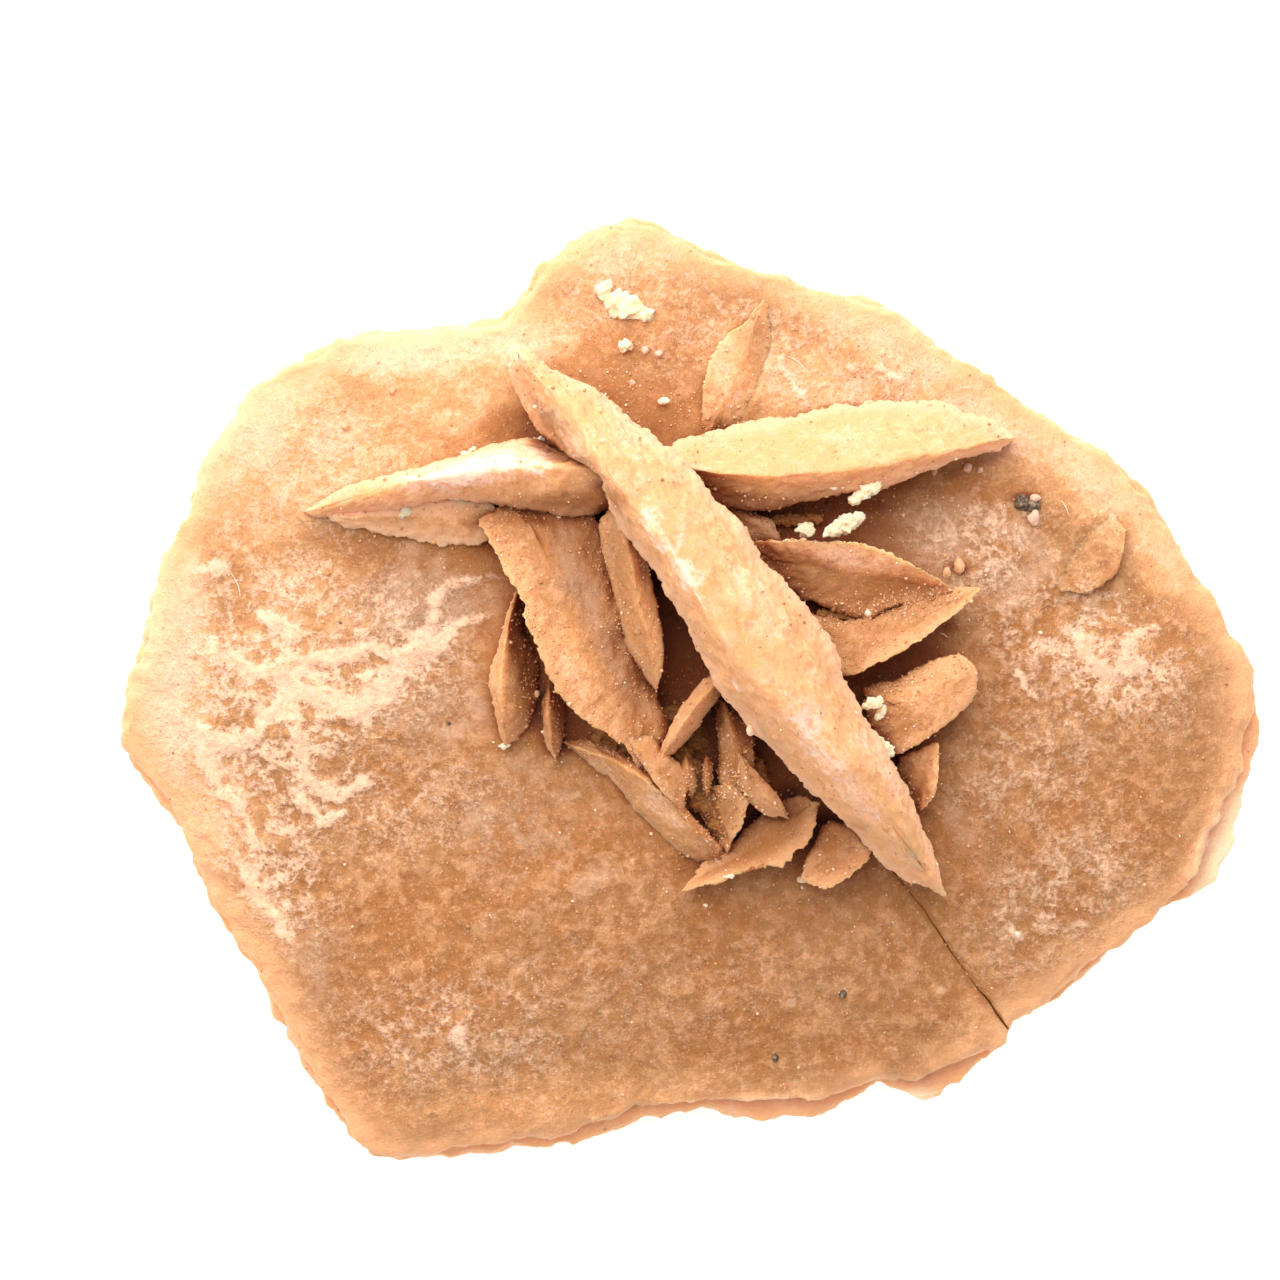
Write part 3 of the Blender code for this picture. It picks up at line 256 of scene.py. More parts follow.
RIM_FLAKE = (
    Crystal("rim_flake", start=(23.1, 8.5, 5.6), end=(19.5, 5.2, 6.6),
            left=((23.0, 7.3, 6.1), (22.4, 6.1, 6.4), (21.6, 5.4, 6.6), (20.7, 5.0, 6.7)),
            right=((22.2, 9.7, 5.2), (20.8, 9.2, 5.5), (19.6, 7.7, 5.9), (19.1, 6.1, 6.2)),
            ridge=((22.5, 8.5, 5.8), (22.0, 7.2, 6.2), (21.1, 6.4, 6.4), (20.1, 5.7, 6.6)),
            keel=4.5, over=1.0, under=0.7, edge=0.14, tooth=0.12, crust=0.06),
)
UNDERSIDE_BLADES = (
    Lens("belly_blade", (-19.0, -9.0, 1.9), (3.0, -12.5, 1.9), 1.0, 3.2, 3.4, 80, 0.6, 0.5, 0,
         0.25, 0.15, 0.15),
    Lens("belly_cross", (-13.0, 3.0, 1.9), (1.0, 15.5, 1.9), 1.0, 3.2, 3.0, 100, 0.6, -0.4, 0,
         0.25, 0.15, 0.15),
    Lens("belly_wing", (8.0, -9.0, 1.9), (19.0, 8.0, 1.9), 1.0, 3.2, 3.2, 95, 0.6, 0.6, 0,
         0.25, 0.15, 0.15),
    Lens("belly_petal", (-6.0, -5.0, 1.2), (7.0, -1.0, 1.2), 1.0, 1.6, 2.4, 60, 0.6, 0.0, 0,
         0.25, 0.15, 0.15),
    Lens("belly_leaf", (-2.0, 8.0, 1.4), (7.0, 2.0, 1.4), 1.0, 1.8, 2.2, 120, 0.6, 0.0, 0,
         0.25, 0.15, 0.15),
)
CLUSTER = (
    LONG_BLADE + CROSS_BLADES + LEFT_PETALS + FRONT_PETALS + RIGHT_PETALS + LONE_PETALS + RIM_FLAKE)

# ---- plate ----

# Outline of the plate crystal, clockwise from its highest point: x, y, and how far the upper growth
# layer stands back from the lower one.
PLATE_OUTLINE = (
    (-3.1, 24.9, 0.1), (-1.8, 24.6, 0.1), (0.6, 23.2, 0.1), (3.7, 22.3, 0.1),
    (8.5, 20.6, 0.1), (10.1, 20.2, 0.1), (13.7, 17.9, 0.1), (17.9, 14.8, 0.1),
    (22.2, 12.4, 0.1), (23.9, 10.7, 0.1), (26.0, 7.5, 0.1), (28.0, 4.6, 0.1),
    (29.5, 1.8, 0.1), (29.9, -1.4, 0.1), (29.6, -4.7, 0.8), (28.9, -7.5, 1.2),
    (27.6, -10.0, 1.1), (26.3, -11.0, 0.7), (24.2, -12.1, 0.1), (21.6, -14.1, 0.1),
    (19.5, -16.0, 0.1), (17.0, -17.5, 0.1), (16.6, -18.8, 0.1), (14.3, -20.2, 0.6),
    (12.4, -21.6, 1.1), (10.1, -20.7, 0.4), (6.9, -22.4, 0.8), (4.8, -22.6, 1.0),
    (0.6, -22.3, 0.9), (-2.6, -22.8, 0.9), (-6.0, -23.8, 0.7), (-12.0, -24.4, 0.4),
    (-15.2, -24.9, 0.1), (-16.9, -24.4, 0.1), (-18.6, -22.4, 0.1), (-20.8, -18.8, 0.1),
    (-23.0, -14.4, 0.1), (-25.4, -10.6, 0.1), (-26.7, -7.4, 0.1), (-28.3, -5.0, 0.1),
    (-29.6, -3.4, 0.1), (-29.9, -1.9, 0.1), (-29.5, 0.6, 0.1), (-28.6, 3.7, 0.1),
    (-27.8, 7.2, 0.1), (-26.2, 10.0, 0.1), (-25.4, 12.7, 0.1), (-23.0, 16.1, 0.1),
    (-20.4, 17.4, 0.1), (-17.8, 18.7, 0.1), (-12.3, 19.3, 0.1), (-9.9, 19.5, 0.1),
    (-8.9, 20.6, 0.1), (-7.6, 22.4, 0.1), (-5.5, 23.9, 0.1), (-4.1, 24.7, 0.1),
)
PLATE_CROWN = 8.2        # height of the upper face at the middle
PLATE_RIM_TOP = 5.0      # height of the upper layer's edge
PLATE_RIM_LOW = 2.9      # height of the lower layer's edge
PLATE_BELLY = 0.7        # height of the underside at the middle
PLATE_GIRTH = 166.0      # length of its outline
PLATE_RADIUS = 26.5      # mean distance from its middle to its rim
SWELL_SIZE = 9.0         # distance between two swells of its faces
FACE_SWELL = 0.25        # and their height
# Low relief of the upper face: height, distance between its lumps, and which noise.
RELIEF = ((0.13, 3.0, 2.0), (0.07, 0.9, 7.0))
SIDE_ROUGH = 0.12        # roughness of the plate's sides and underside
SIDE_SIZE = 1.5          # distance between two lumps of it
WEB_SIZE = 1.5           # mesh of the raised web in the mottled patches
VEIN_WANDER = 0.22       # how far the veins stray from their strands
# Rings round the edges of the two growth layers: share of the outline, and height.
UPPER_EDGE = ((0.989, 5.0), (0.994, 4.93), (0.998, 4.75), (1.0, 4.5), (1.0, 4.2), (0.997, 4.0))
LOWER_EDGE = ((0.991, 3.85), (0.996, 3.83), (0.9995, 3.7), (1.001, 3.5), (1.0, 3.25), (0.996, 3.0))
FRAY_BAYS = 2.6          # distance between the wide bays of its rim
FRAY_TEETH = 0.7         # and between the teeth in them
UPPER_FRAY = 51.0        # which rags the upper layer's edge has
LOWER_FRAY = 57.0        # and the lower one's
FACE_MARK, EDGE_MARK, LEDGE_MARK, UNDER_MARK = 1.0, 0.8, 0.4, 0.0    # parts of the plate's skin
LEDGE_GLOW = 0.6         # how pale the lower layer's edge is painted, as the glow of light shining through it
PLATE_RIM_DEPTH = 1.4    # how far in from the rim its paleness, partly painted glow, reaches
BANK_HEIGHT = 0.3        # height to which sand is banked against the crystals
BANK_REACH = 0.5         # and how far out it runs
BANK_SEARCH = 3.0        # how far a point looks for a crystal
BANK_LIMIT = 24.0        # how far from the middle it does so
COARSE_STEP = 0.6        # step of the crystals' skins where only their place counts
UNDERSIDE_STEP = 0.3     # and of those on the underside
PLATE_RIM_UNSHADED = 0.8        # how much of the painted shade the plate's rim is spared
FLAKE_RIM = 0.3          # how pale the rim flake's own rim is, its paleness partly painted glow

CRACK_PATH = (
    (10.6, -9.3), (11.8, -10.8), (12.7, -12.0), (13.7, -13.6), (15.0, -15.4), (15.9, -16.5),
    (16.8, -17.8), (17.8, -19.3),
)
CRACK_FACE = 7.2         # height of the plate's face where the crack starts
CRACK_FALL = 2.2         # and how far the face falls along it
CRACK_DEPTH = (0.25, 0.55)    # at its two ends
CRACK_SLOPE = 0.17       # half its width one millimetre above its floor
CRACK_WANDER = 0.09      # how far it strays to either side of its path
CRACK_SHADE_CAP = 0.25        # most painted shade beside the crack and round the rim flake
CRACK_SHADE_WIDTH = 0.4   # half the width in which that holds
CRACK_STAIN = 1.2        # iron stain along the crack
CRACK_STAIN_WIDTH = 0.25      # and half its width
FLAKE_AXIS = ((22.6, 8.4, 2.0), (20.2, 5.6, 2.0))     # x, y and half width of the rim flake

# Cream veins of the plate: strands of (x, y, half width) points.
VEINS = (
    ((-8.9, 6.1, 0.12), (-11.0, 5.9, 0.2), (-12.3, 5.7, 0.26), (-12.9, 5.1, 0.24), (-13.3, 4.5, 0.26),
     (-13.4, 3.6, 0.3), (-13.8, 2.7, 0.35), (-14.4, 1.9, 0.45)),
    ((-10.6, 3.9, 0.15), (-11.6, 3.6, 0.22), (-12.4, 3.0, 0.28), (-13.2, 2.5, 0.36), (-14.1, 1.9, 0.5),
     (-15.1, 1.2, 0.6), (-16.0, 0.4, 0.72), (-16.8, -0.4, 0.75), (-17.4, -1.1, 0.6)),
    ((-17.4, -1.1, 0.55), (-18.3, -1.0, 0.5), (-19.3, -0.5, 0.4), (-19.9, 0.1, 0.6), (-20.7, 0.4, 0.65),
     (-21.5, 0.9, 0.45), (-22.4, 1.1, 0.3), (-23.6, 1.5, 0.35), (-24.9, 1.9, 0.5)),
    ((-14.1, 2.1, 0.3), (-15.4, 1.9, 0.34), (-16.6, 2.15, 0.22), (-17.8, 1.9, 0.25), (-18.9, 1.8, 0.2),
     (-19.9, 1.5, 0.22), (-20.5, 0.9, 0.3)),
    ((-21.3, 0.1, 0.35), (-21.0, -1.1, 0.3), (-20.6, -2.3, 0.25), (-20.4, -3.6, 0.26), (-20.0, -4.6, 0.36),
     (-19.1, -5.2, 0.4), (-18.1, -5.6, 0.25), (-17.0, -4.9, 0.16)),
    ((-21.6, -0.6, 0.15), (-22.1, -1.3, 0.2), (-22.6, -2.3, 0.22), (-23.7, -2.8, 0.4), (-24.9, -2.7, 0.5)),
    ((-25.7, -2.3, 0.4), (-25.4, -3.7, 0.35), (-24.7, -5.1, 0.32), (-23.6, -6.0, 0.26), (-23.3, -7.0, 0.2),
     (-22.9, -8.3, 0.25), (-23.4, -9.6, 0.3), (-22.6, -11.2, 0.26), (-21.2, -13.0, 0.24)),
    ((-20.4, -5.7, 0.2), (-19.4, -7.0, 0.26), (-18.1, -6.5, 0.2)),
    ((-22.4, 3.9, 0.22), (-21.2, 3.5, 0.2), (-20.6, 3.0, 0.24)), ((-25.6, 6.4, 0.3), (-24.4, 6.6, 0.4)),
    ((20.4, 2.9, 0.2), (21.1, 1.9, 0.3), (21.6, 1.2, 0.4), (22.6, 1.0, 0.4), (23.8, 1.5, 0.26)),
    ((22.6, 1.2, 0.3), (23.3, 2.6, 0.24), (24.6, 3.2, 0.16)), ((17.2, 0.9, 0.12), (18.0, -0.3, 0.12)),
    ((4.8, 17.4, 0.1), (5.6, 16.1, 0.14), (6.0, 15.4, 0.16)), ((10.0, 17.1, 0.12), (11.1, 16.3, 0.18)),
    ((17.1, -12.6, 0.12), (17.5, -13.0, 0.16)), ((-12.0, -18.2, 0.3), (-12.6, -17.4, 0.2)),
)
# Greyer, thinner films of the same cream.
FILMS = (
    ((-14.7, 7.3, 0.3), (-14.9, 6.1, 0.35), (-15.2, 4.8, 0.35), (-15.6, 3.7, 0.4)),
    ((-13.0, 6.9, 0.25), (-13.2, 6.3, 0.25)), ((-11.2, -0.6, 0.3), (-11.0, -1.6, 0.3), (-12.6, -2.2, 0.4)),
    ((11.5, 9.3, 0.4), (12.8, 8.9, 0.45), (14.2, 9.4, 0.3)), ((12.4, 7.4, 0.3), (14.2, 7.9, 0.35)),
    ((16.3, 8.9, 0.4), (18.8, 7.0, 0.4), (17.0, 5.0, 0.35)), ((-5.4, -10.2, 0.3), (-4.2, -9.5, 0.35)),
    ((13.5, -6.0, 0.2), (14.5, -7.5, 0.25)),
)

# Broad colours of the plate: x, y, two radii, turn in degrees and strength.
MOTTLED = (
    (-21.5, 0.0, 7.0, 8.5, 0, 1.0), (-22.5, -9.0, 4.0, 5.5, 25, 0.9), (-16.0, 2.0, 5.0, 4.5, 0, 0.85),
    (-15.0, -6.0, 7.0, 4.0, 0, 0.5), (21.5, 2.0, 6.5, 4.0, -20, 0.9), (14.5, 7.5, 6.0, 4.0, 10, 0.75),
    (19.5, -11.0, 6.0, 4.0, 35, 0.7), (17.5, -4.0, 6.0, 5.0, 0, 0.55), (8.0, 17.0, 13.0, 4.0, -30, 0.6),
    (-12.0, -18.0, 9.0, 4.0, 5, 0.6), (2.5, 19.0, 7.0, 3.0, 0, 0.55), (-20.0, 11.0, 8.0, 5.0, 20, 0.5),
    (-4.0, 21.0, 5.0, 3.0, 0, 0.5), (0.0, -16.0, 14.0, 5.0, 0, 0.3),
)
# Paler gypsum, partly painted light: the over-lit upper-left side, and the glow of light through the rims
# and the lower layer's edge.
BLEACHED_AND_LIT = (
    (-24.5, 14.0, 8.0, 4.0, 40, 1.0), (-27.5, 1.5, 2.8, 9.0, 0, 1.0), (-14.0, 18.5, 9.0, 2.4, 5, 1.0),
    (-3.5, 23.6, 6.5, 2.6, -5, 0.7), (10.5, 19.0, 10.0, 2.8, -37, 0.8), (21.0, 12.6, 6.5, 2.8, -45, 0.8),
    (-20.5, 12.0, 9.0, 5.0, 25, 0.6), (-13.0, 15.5, 8.0, 3.0, 8, 0.55), (6.0, 16.5, 7.0, 3.0, -15, 0.55),
    (-26.0, -6.5, 3.5, 3.5, 40, 0.7), (-22.5, -12.5, 2.0, 4.5, 28, 0.35), (15.0, 14.5, 6.0, 2.6, -25, 0.75),
    (25.0, 7.5, 2.0, 4.0, 30, 0.65), (-21.0, 3.0, 5.0, 6.0, 0, 0.45), (22.5, 2.5, 4.0, 2.5, -15, 0.3),
    (28.3, -8.5, 1.5, 5.2, -20, 1.6), (3.0, -22.0, 6.5, 0.8, 3, 1.0), (12.3, -21.3, 1.6, 0.8, 25, 1.4),
    (-6.0, -21.5, 12.0, 1.6, 5, 0.4), (14.5, -19.0, 8.0, 1.4, 36, 0.4), (-3.0, 20.5, 5.0, 3.0, 0, 0.4),
)
# Iron stains, partly painted shade in the shadows under and beside the crystals.
STAINED_AND_SHADED = (
    (-2.6, 15.4, 3.4, 1.7, -22, 0.55), (-9.6, 14.0, 1.9, 1.3, 30, 0.9), (13.5, 10.0, 4.4, 1.6, 12, 0.3),
    (-14.8, 7.6, 5.2, 1.4, -6, 1.2), (26.6, -2.0, 1.6, 6.0, 5, 0.4), (16.0, -7.0, 3.0, 5.5, 20, 0.4),
    (1.0, -18.0, 12.0, 2.4, 4, 0.25), (17.5, 2.0, 2.5, 2.0, 0, 0.3), (4.0, -11.8, 6.0, 1.2, 5, 0.5),
    (13.0, 9.1, 3.5, 1.5, 0, 0.6), (-14.5, -23.3, 3.0, 1.2, -10, 0.3), (19.5, -14.6, 5.0, 0.7, 38, 0.4),
    (15.5, -14.5, 0.8, 4.0, 40, 0.3), (-14.6, 5.2, 3.0, 1.5, 0, 0.45),
)
# Greyer patches, partly painted shade in the shadows round the cluster.
ASHEN_AND_SHADED = (
    (-13.6, 4.6, 4.6, 3.0, 0, 0.9), (12.5, 8.2, 4.0, 2.6, 10, 0.8), (-19.5, -15.0, 2.5, 4.0, 30, 0.5),
    (-10.0, -7.0, 6.0, 4.0, 0, 0.5), (-14.0, 0.0, 4.0, 4.0, 0, 0.6), (12.6, 6.8, 2.8, 1.8, 0, 0.55),
    (16.0, 5.5, 4.0, 2.0, 0, 0.5), (-15.8, 7.6, 3.4, 1.2, -4, 0.6),
    (-8.0, -13.0, 8.0, 3.0, 0, 0.3), (-1.5, 16.5, 3.0, 1.5, -20, 0.3),
)

# The same for the crystals of the cluster.
# Paler crystal, partly painted light on lit tops and crests.
CRYSTAL_BLEACHED_AND_LIT = (
    (-9.3, 17.4, 0.9, 1.0, 0, 1.0), (1.0, 11.5, 5.0, 1.6, -12, 0.3), (9.0, 13.0, 8.0, 2.0, -5, 0.4),
    (-3.2, 13.6, 3.5, 1.3, -45, 0.7), (-11.0, 12.0, 8.0, 1.2, 8, 1.0), (3.6, 4.6, 4.0, 1.2, -55, 0.6),
    (10.2, -3.6, 3.0, 1.2, -55, 0.9), (2.0, 17.0, 1.6, 4.0, 20, 0.75), (12.4, 0.4, 2.8, 1.6, 25, 0.42),
    (6.6, -1.0, 3.0, 1.2, -55, 0.6), (11.5, 2.6, 3.4, 1.0, 35, 0.05), (8.0, 7.3, 5.0, 1.2, -12, 0.8),
    (-8.6, 4.0, 1.0, 5.0, 12, 0.35), (-6.0, 1.6, 3.4, 1.0, -62, 0.5), (-1.5, -6.2, 3.0, 0.8, -45, 0.6),
    (-4.4, -4.2, 2.4, 0.7, -42, 0.5), (-2.6, 4.8, 0.9, 3.8, 12, 0.35), (-9.9, 0.4, 0.7, 3.4, 5, 0.5),
    (0.2, -1.2, 2.6, 0.6, 53, 0.45), (4.2, -5.4, 2.2, 0.8, -55, 0.35), (12.7, -4.2, 0.7, 2.0, 0, 0.5),
    (8.0, -4.6, 4.0, 1.2, -52, 0.8), (-12.0, 11.6, 6.0, 1.2, 8, 0.9),
)
# Iron stains of the crystals, partly painted shade in valleys, pockets and under overhangs.
CRYSTAL_STAINED_AND_SHADED = (
    (-7.6, 13.8, 2.8, 0.9, -50, 0.8), (-6.4, 9.6, 4.5, 0.9, 5, 1.0), (8.2, 9.6, 5.5, 0.9, 5, 1.0),
    (9.8, 5.0, 4.2, 1.2, 10, 0.8), (-5.0, 7.6, 1.6, 1.4, 0, 0.7), (2.0, -4.6, 1.8, 1.8, 0, 0.9),
    (-3.6, 6.0, 1.0, 3.0, 10, 0.6),
    (-8.4, 0.8, 0.7, 2.4, 5, 0.8), (3.8, -8.0, 3.6, 1.2, 25, 1.0), (7.4, -7.8, 2.2, 1.2, 20, 0.8),
    (11.7, -8.4, 2.0, 0.7, -55, 0.3), (8.6, -4.9, 2.2, 0.5, -50, 0.2), (11.9, -4.4, 0.6, 1.6, 0, 0.3),
    (-13.5, 8.6, 4.0, 1.0, 0, 0.6), (-1.6, -3.9, 2.0, 0.8, -45, 0.3), (-15.5, 8.9, 4.0, 0.5, 5, 0.6),
)
# Painted shade in the grey colour, on the long blade's shaded left flank and beside the narrow petal.
CRYSTAL_SHADED_FLANKS = (
    (-7.0, 13.4, 2.8, 0.9, -50, 1.2), (-3.9, 9.4, 2.0, 0.6, -60, 0.7), (-0.9, 4.4, 3.4, 0.5, -58, 0.8),
    (3.4, -1.8, 3.4, 0.5, -50, 0.7), (-5.8, 6.4, 1.5, 3.6, 20, 0.9), (-3.9, 6.5, 0.6, 3.0, 12, 0.6),
    (-3.7, 1.8, 1.2, 3.6, 30, 0.8),
)
# Faintly rubbed zones of the crystals, partly painted sheen along their crests, as x, y, two radii, turn
# and strength.
RUBBED_AND_SHEEN = (
    (-1.3, 7.8, 4.6, 1.2, -60, 0.65), (-11.0, 11.5, 5.2, 1.1, 8, 0.8), (6.8, -3.0, 5.0, 1.1, -53, 0.65),
    (-9.4, 17.2, 1.2, 0.8, -50, 0.4), (-5.2, 12.8, 2.6, 0.8, -55, 0.45), (10.6, -7.3, 2.0, 0.8, -50, 0.3),
    (-1.0, -6.5, 1.6, 0.4, -50, 0.4),
)
# Rubbed places of the crystals, partly painted highlights on the crests, as strands of (x, y, half width)
# points.
WEAR_AND_HIGHLIGHTS = (
    ((-2.4, 9.3, 0.2), (-1.7, 8.5, 0.32), (-1.2, 7.8, 0.2)),
    ((-1.0, 7.4, 0.24), (-0.4, 6.4, 0.3), (0.0, 5.6, 0.2)), ((0.2, 5.2, 0.07), (0.8, 4.2, 0.08)),
    ((2.2, 0.6, 0.13), (2.5, 0.1, 0.12)), ((7.4, -3.6, 0.12), (7.8, -4.1, 0.14)),
    ((9.5, -6.2, 0.08), (9.9, -6.7, 0.10)), ((10.6, -7.4, 0.08), (10.8, -7.8, 0.07)),
    ((-7.9, 14.7, 0.10), (-7.6, 14.4, 0.10)), ((-6.7, 13.6, 0.09), (-6.6, 13.2, 0.09)),
    ((-14.0, 11.0, 0.12), (-12.6, 11.4, 0.25), (-11.6, 11.2, 0.18)),
    ((-10.9, 11.6, 0.09), (-9.8, 11.5, 0.12)),
    ((-9.0, 11.7, 0.18), (-8.3, 11.5, 0.28), (-7.5, 11.3, 0.16)), ((-6.1, 12.2, 0.08), (-5.4, 12.2, 0.12)),
    ((-2.2, -5.4, 0.07), (-2.0, -5.7, 0.07)), ((-0.4, -7.0, 0.06), (-0.2, -7.2, 0.06)),
    ((0.9, -7.8, 0.06), (1.1, -8.0, 0.07)), ((1.4, -8.8, 0.12), (1.6, -9.0, 0.12)),
)

# ---- small things grown or stuck on ----

# Crumbs of pale sandy gypsum: x, y, z, length, width, height, turn in degrees, number of knobs.
CRUMBS = (
    (-3.2, 20.1, 6.3, 3.2, 1.7, 1.7, -28, 12), (-4.5, 21.1, 6.2, 1.3, 1.0, 0.9, 65, 8),
    (-3.35, 18.1, 6.8, 0.95, 0.8, 0.7, 0, 8),
    (9.1, 10.3, 10.5, 2.2, 0.9, 0.8, 30, 22), (8.1, 8.7, 10.3, 2.5, 1.1, 0.9, 24, 26),
    (6.1, 8.4, 10.0, 1.1, 1.0, 0.9, 0, 12), (7.6, 10.6, 11.0, 0.9, 0.5, 0.4, 10, 6),
    (9.5, -0.6, 11.6, 1.4, 0.8, 0.8, 20, 14), (9.9, -1.1, 11.1, 0.9, 0.7, 0.7, 60, 7),
    (10.1, -2.9, 11.5, 1.5, 1.0, 0.9, -55, 12), (-14.8, 9.3, 8.3, 0.75, 1.2, 0.7, 0, 7),
    (-9.7, -2.9, 8.3, 0.6, 0.45, 0.4, 10, 5), (2.1, -9.65, 9.9, 0.7, 0.3, 0.3, 8, 6),
    (9.35, 4.1, 10.0, 0.4, 0.55, 0.45, 10, 5), (-8.2, 13.1, 9.3, 1.4, 0.5, 0.4, 3, 9),
    (-11.6, 12.5, 8.7, 1.2, 0.5, 0.4, 25, 7), (-1.3, 15.2, 7.35, 0.7, 0.45, 0.45, 5, 6),
)

# Heaps of sandy rubble packed between the crystals, in the same order of numbers.
RUBBLE = (
    (9.6, 4.15, 8.75, 3.8, 0.8, 0.8, 10, 34), (12.4, 5.0, 8.95, 2.4, 0.6, 0.5, 12, 18),
    (7.4, 4.0, 8.8, 1.6, 0.8, 0.6, 0, 12), (10.9, 0.7, 7.3, 3.2, 1.0, 0.9, 25, 26),
    (5.6, 9.0, 8.2, 2.8, 0.8, 0.8, 0, 20), (3.0, -5.2, 9.0, 1.2, 0.6, 0.5, 60, 10),
    (1.2, -6.3, 8.3, 1.8, 1.3, 0.9, -55, 24), (-6.7, -1.9, 7.9, 0.6, 1.8, 0.6, 10, 14),
    (-8.3, -0.6, 7.8, 0.6, 1.6, 0.6, 0, 12), (-4.0, -3.1, 8.1, 3.0, 1.0, 0.9, -35, 28),
    (-0.9, -5.0, 8.9, 0.8, 0.6, 0.5, 40, 8), (0.2, -4.6, 8.6, 4.6, 2.4, 1.5, -60, 70),
    (4.4, -2.0, 8.6, 1.4, 0.7, 0.6, -50, 12), (-0.9, 8.6, 8.0, 0.8, 1.6, 0.8, 10, 12),
    (2.9, -3.4, 8.8, 4.0, 1.6, 1.2, -60, 50), (5.0, -7.2, 8.4, 3.2, 1.2, 1.0, 30, 30),
    (-0.4, -2.0, 8.0, 3.4, 2.2, 1.2, -40, 44), (9.6, -3.6, 7.6, 1.8, 1.2, 0.8, -50, 18),
    (1.4, -6.6, 8.9, 2.6, 1.4, 1.0, -50, 36), (-3.6, -2.6, 8.3, 3.4, 1.2, 1.0, -30, 30),
)

# Single round grains: x, y, radius and tint (0 pale, 1 tan, 2 pink, 3 dark).
PEBBLES = (
    (3.15, -2.0, 0.30, 0), (5.9, -9.9, 0.24, 0), (-8.0, -0.15, 0.20, 1), (14.2, 6.5, 0.40, 1),
    (14.65, 11.7, 0.26, 2), (15.3, 11.6, 0.2, 2), (18.2, 10.1, 0.3, 2), (17.5, 9.9, 0.42, 3),
    (18.1, 9.75, 0.34, 3), (18.15, 9.1, 0.32, 2), (-2.3, 17.9, 0.22, 2), (-1.6, 17.7, 0.25, 2),
    (8.1, -15.95, 0.18, 3), (4.55, -19.35, 0.2, 3), (17.3, -12.85, 0.18, 0), (-18.05, 13.9, 0.22, 1),
    (-15.6, 15.8, 0.2, 1), (-6.8, 9.1, 0.10, 0), (18.45, 3.05, 0.14, 0), (-18.3, 3.6, 0.1, 3),
    (-12.6, -1.7, 0.1, 3), (-4.5, 12.9, 0.16, 0), (-8.0, 14.8, 0.15, 0), (13.5, 6.2, 0.24, 1),
    (15.6, 6.3, 0.2, 2), (12.9, 11.5, 0.2, 1), (-3.0, 16.2, 0.16, 2), (-9.3, 17.0, 0.14, 0),
)

# Where sand has gathered: x, y, two radii, turn in degrees and strength.
SAND_SPOTS = (
    (9.6, 4.4, 3.8, 0.7, 12, 1.0), (1.6, -4.4, 1.8, 2.2, 0, 1.0), (-2.6, 15.4, 4.5, 1.6, -22, 0.35),
    (1.3, -7.0, 0.6, 1.4, -20, 0.8), (-6.6, -2.0, 0.6, 2.2, 0, 0.8), (-8.3, 0.5, 0.6, 2.4, 0, 0.8),
    (8.0, 9.6, 5.0, 0.6, 5, 0.6), (4.6, 9.0, 2.4, 1.0, 0, 0.6), (-4.6, -3.0, 1.6, 0.7, -30, 0.8),
    (10.4, 0.2, 2.6, 0.5, 25, 0.6), (-4.2, 6.0, 0.6, 3.6, 8, 0.5), (-8.5, 9.6, 4.0, 0.6, 0, 0.25),
)

# Fibres of dust: the two ends in x, y and how far the middle stands off.
FIBRES = (
    ((19.6, 10.0), (20.0, 9.2), 0.06), ((13.1, 3.05), (13.55, 2.8), 0.05),
    ((-24.1, 6.2), (-23.6, 4.9), 0.12), ((5.2, 17.6), (6.1, 16.9), 0.10),
)
FIBRE_RADIUS = 0.035
FIBRE_LIFT = 0.06        # height of a fibre above the skin
FIBRE_RINGS = 13
KNOB_SHARE = 0.42        # radius of a heap's knob, as a share of the heap's width or height
KNOB_RADII = (0.5, 0.95)      # least and most of that
KNOB_CORNERS = (0.7, 1.2)     # how far the corners of a knob reach
KNOB_CUBE = 1.5          # and the cube that it starts from
HEAP_VOXEL = 0.05        # fineness of the crumbs' and the rubble's skins
HEAP_ROUGH = 0.05        # height of their own grain
DROP_HEIGHT = 30.0       # height from which small pieces are dropped on the skins
PLATE_SAND = 0.1         # how readily grains cling to the plate
CRYSTAL_SAND = 0.25      # and to the crystals
GRAIN_RADIUS = 0.55      # usual radius of a grain, as a share of its set size
GRAIN_SPREAD = 0.3       # how much grains differ in size
GRAIN_STRETCH = (0.75, 1.25)  # least and most of a grain's stretch along each axis
GRAIN_JAG = 0.18         # how angular grains are
GRAIN_PULL = 3.0         # how strongly the sand spots draw them
GRAIN_SHUT = 0.95        # how shut in a place may be and still have grains
GRAIN_SINK = 0.35        # height of a grain's middle over the skin, as a share of its radius
PEBBLE_STRETCH = (0.75, 1.15)
PEBBLE_LUMPS = 0.3
PEBBLE_SINK = 0.25       # and of a pebble's
CRUMB_RIM = 0.85         # how far the crumbs take the colour of thin rims, a painted glow
RUBBLE_SHADE = 0.22      # how shut in the rubble is
RUBBLE_STAIN = 1.2       # and how stained


# ---- settings ----

def length_setting(name, description, default, least=0.0):
    """A setting in metres, from its default and its least value in millimetres."""
    return FloatProperty(name=name, description=description, default=default * MM, min=least * MM,
                         unit="LENGTH", precision=6)


def colour_setting(name, description, default):
    """A colour setting."""
    return FloatVectorProperty(name=name, description=description, default=default, min=0.0, max=1.0,
                               subtype="COLOR")


